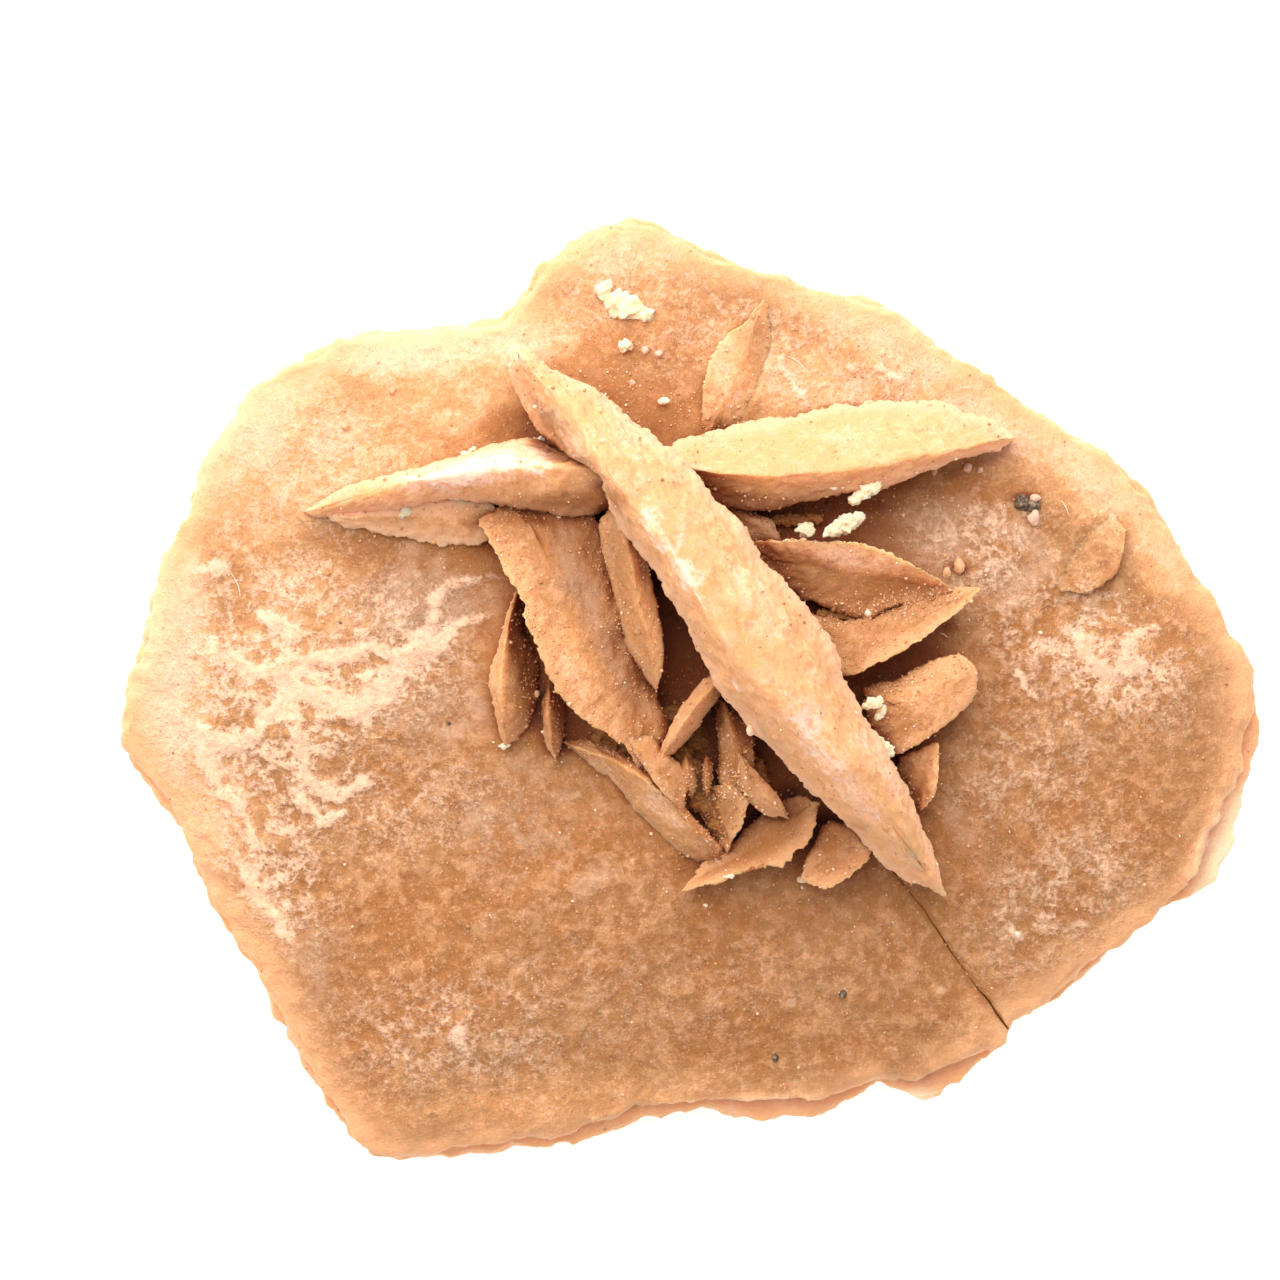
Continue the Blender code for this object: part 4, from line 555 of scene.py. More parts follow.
class SandRoseSizes(bpy.types.PropertyGroup):
    """How fine the skins are, and how rough."""
    plate_step: length_setting("Plate step", "Distance between points of the plate's skin", 0.21, 0.1)
    blade_step: length_setting("Blade step", "Distance between points of the blades' skins", 0.145, 0.05)
    petal_step: length_setting("Petal step", "Distance between points of the petals' skins", 0.105, 0.05)
    rim_rag: length_setting("Rim rag", "How far the plate's rim wanders in and out", 0.28)
    vein_relief: length_setting("Vein relief", "How far the cream veins stand out of the plate", 0.12)
    grain_size: length_setting("Grain size", "Diameter of a usual sand grain", 0.09, 0.05)
    grain_count: IntProperty(
        name="Grain count", description="Number of loose sand grains stuck to the stone",
        default=8000, min=0)


class SandRoseColours(bpy.types.PropertyGroup):
    """Colours of the stone."""
    tan: colour_setting("Tan", "Usual colour of the sandy gypsum", (0.44, 0.20, 0.075))
    ochre: colour_setting("Ochre", "Its warmer patches", (0.42, 0.165, 0.048))
    pale: colour_setting("Pale tan", "Its lighter patches", (0.71, 0.375, 0.188))
    golden: colour_setting("Golden", "Clearer gypsum", (0.85, 0.43, 0.19))
    bleached: colour_setting("Bleached", "Gypsum with little sand in it", (0.98, 0.60, 0.42))
    rust: colour_setting("Rust", "Iron stain", (0.38, 0.14, 0.034))
    ash: colour_setting("Ash", "Its greyer patches", (0.47, 0.28, 0.175))
    # Deep rust: painted shade where a place is shut in between the crystals, on the stone and its grains.
    deep: colour_setting("Deep rust", "Sand packed between the crystals", (0.25, 0.052, 0.010))
    # Umber: painted shade at the bottom of the gaps, and the colour of the single dark spots.
    umber: colour_setting("Umber", "Dirt at the bottom of the gaps", (0.07, 0.014, 0.006))
    cream: colour_setting("Cream", "Veins and crumbs", (0.98, 0.66, 0.47))
    glowing: colour_setting("Glowing", "Thin rims that light shines through", (1.0, 0.80, 0.54))
    # Worn white: rubbed ridges, partly painted highlights along the crests.
    worn: colour_setting("Worn white", "Rubbed ridges", (0.98, 0.76, 0.66))
    floor: colour_setting("Floor", "Colour of the floor", (0.92, 0.92, 0.93))


# ---- noise ----

LATTICE_SIDE = 64
LATTICE = np.random.default_rng(LATTICE_SEED).uniform(-1.0, 1.0, (LATTICE_SIDE,) * 3)


def lumps(points, size, seed=0.0):
    """Smooth noise from -1 to 1 at each point, its lumps about one size apart."""
    place = points / size + 17.31 * seed
    cell = np.floor(place).astype(int)
    inside = place - cell
    inside = inside * inside * (3.0 - 2.0 * inside)
    total = np.zeros(len(points))
    for corner in np.ndindex(2, 2, 2):
        weight = np.prod(np.where(np.array(corner) == 1, inside, 1.0 - inside), axis=1)
        x, y, z = ((cell + np.array(corner)) % LATTICE_SIDE).T
        total += weight * LATTICE[x, y, z]
    return total


def rubble(points, size, octaves, seed=0.0, fade=0.5):
    """Layers of noise, each half the size of the one before and fainter."""
    total = np.zeros(len(points))
    strength = 1.0
    for octave in range(octaves):
        total += strength * lumps(points, size / 2.0 ** octave, seed + octave)
        strength *= fade
    return total


def ease(values, low, high):
    """0 below low, 1 above high and smooth between."""
    share = np.clip((values - low) / (high - low), 0.0, 1.0)
    return share * share * (3.0 - 2.0 * share)


# ---- skins ----

CORNER_ROUND = 0.3       # distance over which the corners of a crystal's rim are rounded
RIM_STEPS = np.array((0.22, 0.1, 0.03, 0.0))     # rings that round the rim, in from it, by its edge
RIM_DEPTH = 0.9          # how far in from the rim its paleness, partly painted glow, reaches
RIM_FALL = 1.3           # and how steeply it falls
RIM_TURN = 30            # how late a face turns over into the rim: more is later
TOOTH_FADE = 10          # how quickly the rim's teeth fade towards the middle
CRUST_SIZE = 1.6         # distance between the sandy lumps on the faces
SUGAR_SIZE = 0.32        # distance between the grains of the sugary coat over them
SUGAR_SHARE = 0.35       # height of that coat, as a share of the lumps'
GROWTH_HEIGHT = 0.02     # height of the growth lines that follow the rim
STREAK_HEIGHT = 0.04     # height of the streaks that run in from it
LENS_GROWTH = 0.03       # height of the growth lines of the underside's crystals
LENS_POINTS = 1440       # points of a lens crystal's outline before it is evenly spaced


def thin_out(share, middle=0.22):
    """How many columns apart the points of a ring are: 4 near the middle, then 2, then 1."""
    return 1 if share > 0.5 else 2 if share > middle else 4


def band(low, low_count, high, high_count):
    """Triangles between two rings, the outer with as many points as the inner, twice or half."""
    count = min(low_count, high_count)
    i = np.arange(count)
    j = (i + 1) % count
    if low_count == high_count:
        rows = ((low + i, high + i, high + j), (low + i, high + j, low + j))
    elif high_count > low_count:
        a, b, c = 2 * i, 2 * i + 1, (2 * i + 2) % high_count
        rows = ((low + i, high + a, high + b), (low + i, high + b, low + j),
                (low + j, high + b, high + c))
    else:
        a, b, c = 2 * i, 2 * i + 1, (2 * i + 2) % low_count
        rows = ((low + a, high + i, low + b), (low + b, high + i, high + j),
                (low + b, high + j, low + c))
    return np.concatenate([np.stack(row, axis=1) for row in rows])


def close_skin(first_cap, rings, last_cap):
    """Points and triangles of a stack of rings closed by a point at either end."""
    starts = []
    total = 1
    for ring in rings:
        starts.append(total)
        total += len(ring)
    points = np.concatenate([np.array([first_cap])] + list(rings) + [np.array([last_cap])])
    count = len(rings[0])
    i = np.arange(count)
    j = (i + 1) % count
    faces = [np.stack((np.zeros_like(i), starts[0] + i, starts[0] + j), axis=1)]
    for k in range(len(rings) - 1):
        faces.append(band(starts[k], len(rings[k]), starts[k + 1], len(rings[k + 1])))
    count = len(rings[-1])
    i = np.arange(count)
    j = (i + 1) % count
    faces.append(np.stack((starts[-1] + i, np.full_like(i, total), starts[-1] + j), axis=1))
    return points, np.concatenate(faces)


def facing_out(points, faces):
    """The triangles, turned round if the skin they make is inside out."""
    a, b, c = points[faces[:, 0]], points[faces[:, 1]], points[faces[:, 2]]
    volume = np.einsum("ij,ij->i", a, np.cross(b, c)).sum()
    return faces if volume > 0.0 else faces[:, ::-1]


def normals_of(points, faces):
    """Vertex normals of a triangle mesh."""
    a, b, c = points[faces[:, 0]], points[faces[:, 1]], points[faces[:, 2]]
    face_normals = np.cross(b - a, c - a)
    normals = np.zeros_like(points)
    for k in range(3):
        np.add.at(normals, faces[:, k], face_normals)
    length = np.linalg.norm(normals, axis=1, keepdims=True)
    return normals / np.maximum(length, 1e-12)


def resample(curve, count):
    """Points at even steps along a closed curve."""
    closed = np.vstack([curve, curve[:1]])
    steps = np.linalg.norm(np.diff(closed, axis=0), axis=1)
    travel = np.concatenate([[0.0], np.cumsum(steps)])
    wanted = np.linspace(0.0, travel[-1], count, endpoint=False)
    return np.stack([np.interp(wanted, travel, closed[:, k]) for k in range(curve.shape[1])], axis=1)


def lens_frame(lens):
    """Middle, half length, and the along, side and up directions of a lens crystal."""
    start = np.array(lens.start)
    end = np.array(lens.end)
    middle = (start + end) / 2.0
    half_length = np.linalg.norm(end - start) / 2.0
    along = (end - start) / (2.0 * half_length)
    side = np.array((-along[1], along[0], 0.0))
    side /= np.linalg.norm(side)
    return middle, half_length, along, side, np.cross(along, side)


def lens_skin(lens, step):
    """Points, triangles and closeness to the rim (0 to 1) of a lens crystal's fine skin."""
    middle, half_length, along, side, up = lens_frame(lens)
    angles = np.linspace(0.0, 2.0 * math.pi, LENS_POINTS, endpoint=False)
    u = np.cos(angles)
    reach = np.maximum(1.0 - u * u, 0.0) ** lens.point
    v = np.where(np.sin(angles) > 0.0, lens.rise, -lens.root) * reach
    curve = np.stack((u * half_length, v), axis=1)
    perimeter = np.linalg.norm(np.diff(np.vstack([curve, curve[:1]]), axis=0), axis=1).sum()
    columns = 8 * max(3, round(perimeter / step / 8.0))
    rim = resample(curve, columns)

    flat = np.column_stack((rim, np.full(columns, 7.0 * len(lens.name) + lens.rise)))
    rag = 1.4 * lens.tooth * rubble(flat, 2.2, 2, 3.0)
    rag -= lens.tooth * np.abs(rubble(flat, 0.7, 3, 5.0, 0.7))
    outward = rim / np.maximum(np.linalg.norm(rim, axis=1, keepdims=True), 1e-9)

    breadth = max(lens.rise, lens.root)
    ring_count = max(6, round(breadth / step))
    shares = np.linspace(0.0, 1.0, ring_count + 1)[1:]
    shares = 1.0 - (1.0 - shares) ** 1.15
    near_rim = 1.0 - RIM_STEPS * lens.edge / breadth * 2.0
    shares = np.concatenate([shares[shares < near_rim[0] - 0.3 * step / breadth], near_rim])

    def ring(share, face):
        skip = thin_out(share)
        count = columns // skip
        x, v = (rim[::skip] * share + outward[::skip] * (rag[::skip] * share ** TOOTH_FADE)[:, None]).T
        u = x / half_length
        half = (lens.thick / 2.0 - lens.edge) * (1.0 - share ** 2)
        half += lens.edge * math.sqrt(1.0 - share ** RIM_TURN)
        w = np.full(count, face * half)
        lean = np.radians(lens.lean + lens.twist * u)[:, None]
        blade = side * np.cos(lean) + up * np.sin(lean)
        normal = np.cross(np.broadcast_to(along, blade.shape), blade)
        offset = (w + lens.bow * (1.0 - u * u))[:, None]
        return middle + along * x[:, None] + blade * v[:, None] + normal * offset

    def cap(face):
        lean = math.radians(lens.lean)
        blade = side * math.cos(lean) + up * math.sin(lean)
        offset = face * lens.thick / 2.0 + lens.bow
        return middle + np.cross(along, blade) * offset

    rings = [ring(share, 1.0) for share in shares]
    rings += [ring(share, -1.0) for share in reversed(shares[:-1])]
    order = list(shares) + list(reversed(shares[:-1]))
    points, faces = close_skin(cap(1.0), rings, cap(-1.0))
    faces = facing_out(points, faces)
    closeness = np.concatenate([[0.0]] + [
        np.full(len(row), math.exp(-((1.0 - share) * breadth / RIM_DEPTH) ** RIM_FALL))
        for row, share in zip(rings, order)] + [[0.0]])

    normals = normals_of(points, faces)
    seed = lens.rise + lens.root + lens.thick
    crust = rubble(points, CRUST_SIZE, 4, seed, 0.6)
    across = [np.full(len(row), share) for row, share in zip(rings, order)]
    across = np.concatenate([[0.0]] + across + [[0.0]])
    growth = lumps(np.column_stack((across * breadth * 5.0, points[:, :2] / 1.5)), 1.0, seed)
    soft = 1.0 - 0.75 * closeness
    points = points + normals * ((lens.crust * crust + LENS_GROWTH * growth) * soft)[:, None]
    return points, faces, closeness


def smooth_path(rows, count):
    """Points at even steps along an open path, count steps long, its corners a little rounded."""
    path = np.array(rows, dtype=float)
    steps = np.linalg.norm(np.diff(path, axis=0), axis=1)
    travel = np.concatenate([[0.0], np.cumsum(steps)])
    wanted = np.linspace(0.0, travel[-1], count + 1)
    path = np.stack([np.interp(wanted, travel, path[:, k]) for k in range(3)], axis=1)
    for _ in range(round(2.0 * (CORNER_ROUND * count / travel[-1]) ** 2)):
        path[1:-1] = (path[:-2] + 2.0 * path[1:-1] + path[2:]) / 4.0
    return path


def path_length(rows):
    """Length of an open path."""
    return np.linalg.norm(np.diff(np.array(rows, dtype=float), axis=0), axis=1).sum()


def line_fan(line, ring, count, inward):
    """Triangles between a line and the ring round it, which runs out along it and back."""
    i = np.arange(count)
    j = (i + 1) % count
    near = line + np.minimum(i, count - i)
    far = line + np.minimum(j, count - j)
    if inward:
        rows = ((near, ring + j, ring + i), (near, far, ring + j))
    else:
        rows = ((near, ring + i, ring + j), (near, ring + j, far))
    return np.concatenate([np.stack(row, axis=1) for row in rows])


def thinning(shares):
    """For rings from the middle out: how many columns apart their points are, 4, 2 or 1."""
    skips = []
    for share in shares:
        wanted = thin_out(share)
        skips.append(max(wanted, skips[-1] // 2) if skips else wanted)
    return skips


def crystal_skin(crystal, step):
    """Points, triangles and closeness to the rim (0 to 1) of a drawn crystal's fine skin."""
    left = (crystal.start,) + crystal.left + (crystal.end,)
    right = (crystal.start,) + crystal.right + (crystal.end,)
    side = 4 * max(3, round(max(path_length(left), path_length(right)) / step / 4.0))
    left = smooth_path(left, side)
    right = smooth_path(right, side)
    line = smooth_path(crystal.ridge, side)
    rim = np.concatenate([left, right[-2:0:-1]])
    spine = np.concatenate([line, line[-2:0:-1]])
    columns = 2 * side
    span = np.linalg.norm(rim - spine, axis=1)
    outward = rim[:, :2] - spine[:, :2]
    outward /= np.maximum(np.linalg.norm(outward, axis=1, keepdims=True), 1e-9)
    seed = path_length(crystal.ridge)
    rag = 1.3 * crystal.tooth * rubble(rim, 1.8, 2, seed)
    rag -= crystal.tooth * np.abs(rubble(rim, 0.6, 3, seed + 2.0, 0.7))
    travel = np.concatenate([[0.0], np.cumsum(np.linalg.norm(np.diff(rim, axis=0), axis=1))])

    breadth = span.mean()
    shares = np.linspace(0.0, 1.0, max(6, round(breadth / step)) + 1)[1:]
    shares = 1.0 - (1.0 - shares) ** 1.1
    near_rim = 1.0 - RIM_STEPS * 2.0 * crystal.edge / breadth
    shares = np.concatenate([shares[shares < near_rim[0] - 0.3 * step / breadth], near_rim])
    low_shares = np.concatenate([shares[:-4:2], near_rim[:-1]])

    def ring(share, skip, upper):
        out = rim[::skip]
        middle = spine[::skip]
        place = middle + share * (out - middle)
        place[:, :2] += outward[::skip] * (rag[::skip] * share ** TOOTH_FADE)[:, None]
        edge = crystal.edge * math.sqrt(1.0 - share ** RIM_TURN)
        if upper:
            place[:, 2] = middle[:, 2] + (out[:, 2] - middle[:, 2]) * share ** crystal.over + edge
        else:
            place[:, 2] = crystal.keel + (out[:, 2] - crystal.keel) * share ** crystal.under - edge
        return place

    def station_line(first_ring, lift):
        stations = line[::columns // len(first_ring)].copy()
        if lift:
            stations[:, 2] += crystal.edge
        else:
            stations[:, 2] = crystal.keel - crystal.edge
        return stations

    order = list(shares) + list(low_shares[::-1])
    rings = [ring(share, skip, True) for share, skip in zip(shares, thinning(shares))]
    rings += [ring(share, skip, False) for share, skip in zip(low_shares, thinning(low_shares))][::-1]
    top = station_line(rings[0], True)
    bottom = station_line(rings[-1], False)
    starts = len(top) + np.concatenate([[0], np.cumsum([len(row) for row in rings])])
    faces = [line_fan(0, starts[0], len(rings[0]), False)]
    for k in range(len(rings) - 1):
        faces.append(band(starts[k], len(rings[k]), starts[k + 1], len(rings[k + 1])))
    faces.append(line_fan(starts[-1], starts[-2], len(rings[-1]), True))
    points = np.concatenate([top] + rings + [bottom])
    faces = facing_out(points, np.concatenate(faces))

    inner = [np.zeros(len(top))]
    across = [np.zeros(len(top))]
    along = [np.linspace(0.0, travel[side], len(top))]
    for row, share in zip(rings, order):
        skip = columns // len(row)
        inner.append(np.exp(-(np.maximum((1.0 - share) * span[::skip], 0.0) / RIM_DEPTH) ** RIM_FALL))
        across.append(share * span[::skip])
        along.append(travel[::skip])
    inner = np.concatenate(inner + [np.zeros(len(bottom))])
    across = np.concatenate(across + [np.zeros(len(bottom))])
    along = np.concatenate(along + [np.linspace(0.0, travel[side], len(bottom))])

    normals = normals_of(points, faces)
    crust = rubble(points, CRUST_SIZE, 4, seed, 0.6)
    sugar = rubble(points, SUGAR_SIZE, 2, seed + 5.0, 0.8)
    flow = np.column_stack((along, across, np.full(len(points), seed)))
    growth = lumps(flow * np.array((0.6, 5.0, 1.0)), 1.0, seed)
    streak = lumps(flow * np.array((3.0, 0.4, 1.0)), 1.0, seed + 1.0)
    soft = 1.0 - 0.6 * inner
    rough = (crystal.crust * crust + GROWTH_HEIGHT * growth + STREAK_HEIGHT * streak) * soft
    rough += SUGAR_SHARE * crystal.crust * sugar
    points = points + normals * rough[:, None]
    return points, faces, inner


def skin_of(crystal, step):
    """The fine skin of either kind of crystal."""
    return lens_skin(crystal, step) if isinstance(crystal, Lens) else crystal_skin(crystal, step)


def tree_of(skins):
    """Search tree over several skins, in millimetres."""
    points = []
    faces = []
    total = 0
    for skin_points, skin_faces, _ in skins:
        points.append(skin_points)
        faces.append(skin_faces + total)
        total += len(skin_points)
    return BVHTree.FromPolygons(np.concatenate(points).tolist(), np.concatenate(faces).tolist())


# ---- meshes ----

def mesh_object(name, points, faces, **attributes):
    """A smooth-shaded mesh object, in metres, from points in millimetres, with point attributes."""
    mesh = bpy.data.meshes.new(name)
    mesh.vertices.add(len(points))
    mesh.vertices.foreach_set("co", (np.asarray(points) * MM).ravel())
    mesh.loops.add(3 * len(faces))
    mesh.loops.foreach_set("vertex_index", np.asarray(faces, dtype=np.int32).ravel())
    mesh.polygons.add(len(faces))
    mesh.polygons.foreach_set("loop_start", np.arange(0, 3 * len(faces), 3, dtype=np.int32))
    mesh.update(calc_edges=True)
    mesh.validate()
    for key, values in attributes.items():
        mesh.attributes.new(key, "FLOAT", "POINT").data.foreach_set("value", values)
    mesh.shade_smooth()
    obj = bpy.data.objects.new(name, mesh)
    bpy.context.collection.objects.link(obj)
    return obj


def mesh_points(obj):
    """An object's points in millimetres."""
    points = np.empty(3 * len(obj.data.vertices))
    obj.data.vertices.foreach_get("co", points)
    return points.reshape(-1, 3) / MM


def set_points(obj, points):
    """Move an object's points, given in millimetres."""
    obj.data.vertices.foreach_set("co", (points * MM).ravel())


def mesh_normals(obj):
    """An object's vertex normals."""
    normals = np.empty(3 * len(obj.data.vertices))
    obj.data.vertices.foreach_get("normal", normals)
    return normals.reshape(-1, 3)


def attribute(obj, name):
    """A point attribute's values."""
    values = np.empty(len(obj.data.vertices))
    obj.data.attributes[name].data.foreach_get("value", values)
    return values


def set_attribute(obj, name, values):
    """Write a point attribute, made if it isn't there."""
    layer = obj.data.attributes.get(name) or obj.data.attributes.new(name, "FLOAT", "POINT")
    layer.data.foreach_set("value", values)


def set_all(obj, name, value):
    """Write a point attribute that is the same everywhere."""
    set_attribute(obj, name, np.full(len(obj.data.vertices), value))


def bmesh_object(name, shape):
    """An object made from a bmesh, which is freed."""
    mesh = bpy.data.meshes.new(name)
    shape.to_mesh(mesh)
    shape.free()
    obj = bpy.data.objects.new(name, mesh)
    bpy.context.collection.objects.link(obj)
    return obj


def remove(obj):
    """Take an object and its mesh out of the file."""
    mesh = obj.data
    bpy.data.objects.remove(obj, do_unlink=True)
    bpy.data.meshes.remove(mesh)


def apply_modifiers(obj):
    """Keep what the modifiers make as the object's own mesh."""
    depsgraph = bpy.context.evaluated_depsgraph_get()
    mesh = bpy.data.meshes.new_from_object(obj.evaluated_get(depsgraph))
    old = obj.data
    obj.modifiers.clear()
    obj.data = mesh
    mesh.name = obj.name
    bpy.data.meshes.remove(old)


def combine(obj, other, operation):
    """Join another closed skin to an object or cut it out, and take that skin out of the file."""
    modifier = obj.modifiers.new("join", "BOOLEAN")
    modifier.operation = operation
    modifier.solver = "MANIFOLD"
    modifier.object = other
    apply_modifiers(obj)
    remove(other)


def crystal_group(name, crystals, step):
    """Crystals grown together: one closed skin with its rim attribute."""
    objects = []
    for crystal in crystals:
        points, faces, closeness = skin_of(crystal, step)
        objects.append(mesh_object(crystal.name, points, faces, rim=closeness))
    first = objects[0]
    for other in objects[1:]:
        combine(first, other, "UNION")
    first.name = name
    first.data.name = name
    return first


# ---- painted light and shade ----

FULL_GLOW = 1.7          # bleached attribute of the palest pieces, which paints them the glowing colour
HEMISPHERE_RAYS = 14
RAY_START = 0.35         # distance off the skin at which the rays start
RAY_REACH = 6.0          # and how far they look
RAY_LIFT = 1.05          # just over 1, so that no ray runs along the skin
SMOOTH_ROUNDS = 4


def stone_tree():
    """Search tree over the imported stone, in millimetres."""
    points = mesh_points(STONE)
    faces = [tuple(polygon.vertices) for polygon in STONE.data.polygons]
    return BVHTree.FromPolygons(points.tolist(), faces)


def shade_hollows(obj, tree, spare_rims=0.0):
    """Write how shut in each point is, 0 in the open and 1 deep in a gap, which sets the painted shade;
    rims may be spared it.
    """
    points = mesh_points(obj)
    normals = mesh_normals(obj)
    randoms = np.random.default_rng(RAY_SEED)
    shut = np.zeros(len(points))
    directions = randoms.normal(size=(HEMISPHERE_RAYS, len(points), 3))
    directions /= np.linalg.norm(directions, axis=2, keepdims=True)
    starts = points + normals * RAY_START
    for ray in directions:
        heading = ray + normals * RAY_LIFT
        heading /= np.linalg.norm(heading, axis=1, keepdims=True)
        for k, (start, way) in enumerate(zip(starts.tolist(), heading.tolist())):
            hit = tree.ray_cast(start, way, RAY_REACH)
            if hit[3] is not None:
                shut[k] += 1.0 - 0.5 * hit[3] / RAY_REACH
    shut /= HEMISPHERE_RAYS
    edges = np.empty(2 * len(obj.data.edges), dtype=np.int32)
    obj.data.edges.foreach_get("vertices", edges)
    edges = edges.reshape(-1, 2)
    for _ in range(SMOOTH_ROUNDS):
        total = shut.copy()
        count = np.ones(len(points))
        np.add.at(total, edges[:, 0], shut[edges[:, 1]])
        np.add.at(total, edges[:, 1], shut[edges[:, 0]])
        np.add.at(count, edges.ravel(), 1.0)
        shut = total / count
    set_attribute(obj, "hollow", shut * (1.0 - spare_rims * attribute(obj, "rim")))


# ---- materials ----

# Sizes of the stone's features.
BROAD_SIZE = 5.0         # patches of tan and ochre
SOFT_SIZE = 1.7          # blotches, which also tear the borders of the patches
CLOUD_SIZE = 0.8         # pale and rusty clouds
SMALL_SIZE = 0.3         # sandy texture
FINE_SIZE = 0.13         # and the finest part of it
SPOT_SIZE = 2.6          # distance between single dark or cream spots
THREAD_SIZES = (2.3, 1.0)     # webs of cream threads in the mottled patches
THREAD_WIDTH = 0.14
PINK_GRAIN = (0.75, 0.46, 0.34)
DARK_GRAIN = (0.07, 0.05, 0.025)
FLOOR_GLOW = 0.6


class Nodes:
    """Short ways to add shader nodes to one material."""

    def __init__(self, name):
        self.material = bpy.data.materials.new(name)
        self.material.use_nodes = True
        self.tree = self.material.node_tree
        self.shader = self.tree.nodes["Principled BSDF"]
        coordinates = self.add("ShaderNodeTexCoord")
        self.place = coordinates.outputs["Object"]

    def add(self, kind, **settings):
        node = self.tree.nodes.new(kind)
        for key, value in settings.items():
            setattr(node, key, value)
        return node

    def feed(self, socket, value):
        if isinstance(value, bpy.types.NodeSocket):
            self.tree.links.new(value, socket)
        else:
            socket.default_value = value

    def noise(self, size, detail=3.0, roughness=0.5, warp=0.0):
        """Noise whose features are about one size (in metres) apart, from 0 to 1."""
        node = self.add("ShaderNodeTexNoise")
        node.inputs["Scale"].default_value = 1.0 / size
        node.inputs["Detail"].default_value = detail
        node.inputs["Roughness"].default_value = roughness
        node.inputs["Distortion"].default_value = warp
        self.feed(node.inputs["Vector"], self.place)
        return node.outputs["Fac"]

    def threads(self, size, warp):
        """Thin branching lines, 1 along a line and 0 away from it."""
        wave = self.noise(size, 4.0, 0.65, warp)
        return self.ramp(self.math("ABSOLUTE", self.less(wave, 0.5)), 0.0, THREAD_WIDTH, 1.0, 0.0)

    def cells(self, size):
        """Distance from, and colour of, grains about one size apart."""
        node = self.add("ShaderNodeTexVoronoi")
        node.inputs["Scale"].default_value = 1.0 / size
        self.feed(node.inputs["Vector"], self.place)
        tint = self.add("ShaderNodeSeparateColor")
        self.feed(tint.inputs["Color"], node.outputs["Color"])
        return node.outputs["Distance"], tint

    def attribute(self, name):
        return self.add("ShaderNodeAttribute", attribute_name=name).outputs["Fac"]

    def math(self, operation, a, b=0.0):
        node = self.add("ShaderNodeMath", operation=operation)
        self.feed(node.inputs[0], a)
        self.feed(node.inputs[1], b)
        return node.outputs[0]

    def plus(self, a, b):
        return self.math("ADD", a, b)

    def times(self, a, b):
        return self.math("MULTIPLY", a, b)

    def less(self, a, b):
        return self.math("SUBTRACT", a, b)

    def swing(self, value, reach):
        """Noise made to swing to either side of 0."""
        return self.times(self.less(value, 0.5), reach)

    def ramp(self, value, low, high, bottom=0.0, top=1.0):
        """Bottom below low, top above high and smooth between."""
        node = self.add("ShaderNodeMapRange", interpolation_type="SMOOTHSTEP")
        self.feed(node.inputs["Value"], value)
        node.inputs["From Min"].default_value = low
        node.inputs["From Max"].default_value = high
        node.inputs["To Min"].default_value = bottom
        node.inputs["To Max"].default_value = top
        return node.outputs["Result"]

    def mix(self, share, a, b, blend="MIX"):
        node = self.add("ShaderNodeMix", data_type="RGBA", blend_type=blend)
        self.feed(node.inputs["Factor"], share)
        self.feed(node.inputs["A"], a if isinstance(a, bpy.types.NodeSocket) else (*a, 1.0))
        self.feed(node.inputs["B"], b if isinstance(b, bpy.types.NodeSocket) else (*b, 1.0))
        return node.outputs["Result"]

    def bump(self, height, distance, strength=1.0, below=None):
        node = self.add("ShaderNodeBump")
        node.inputs["Strength"].default_value = strength
        node.inputs["Distance"].default_value = distance
        self.feed(node.inputs["Height"], height)
        if below is not None:
            self.feed(node.inputs["Normal"], below)
        return node.outputs["Normal"]

    def skin(self, colour, roughness, normal):
        self.feed(self.shader.inputs["Base Color"], colour)
        self.feed(self.shader.inputs["Roughness"], roughness)
        self.feed(self.shader.inputs["Normal"], normal)

    def scatter(self, weight, radius, scale):
        """Light that soaks in: how much of it, its reach by colour and that reach's scale."""
        self.shader.inputs["Subsurface Weight"].default_value = weight
        self.shader.inputs["Subsurface Radius"].default_value = radius
        self.shader.inputs["Subsurface Scale"].default_value = scale


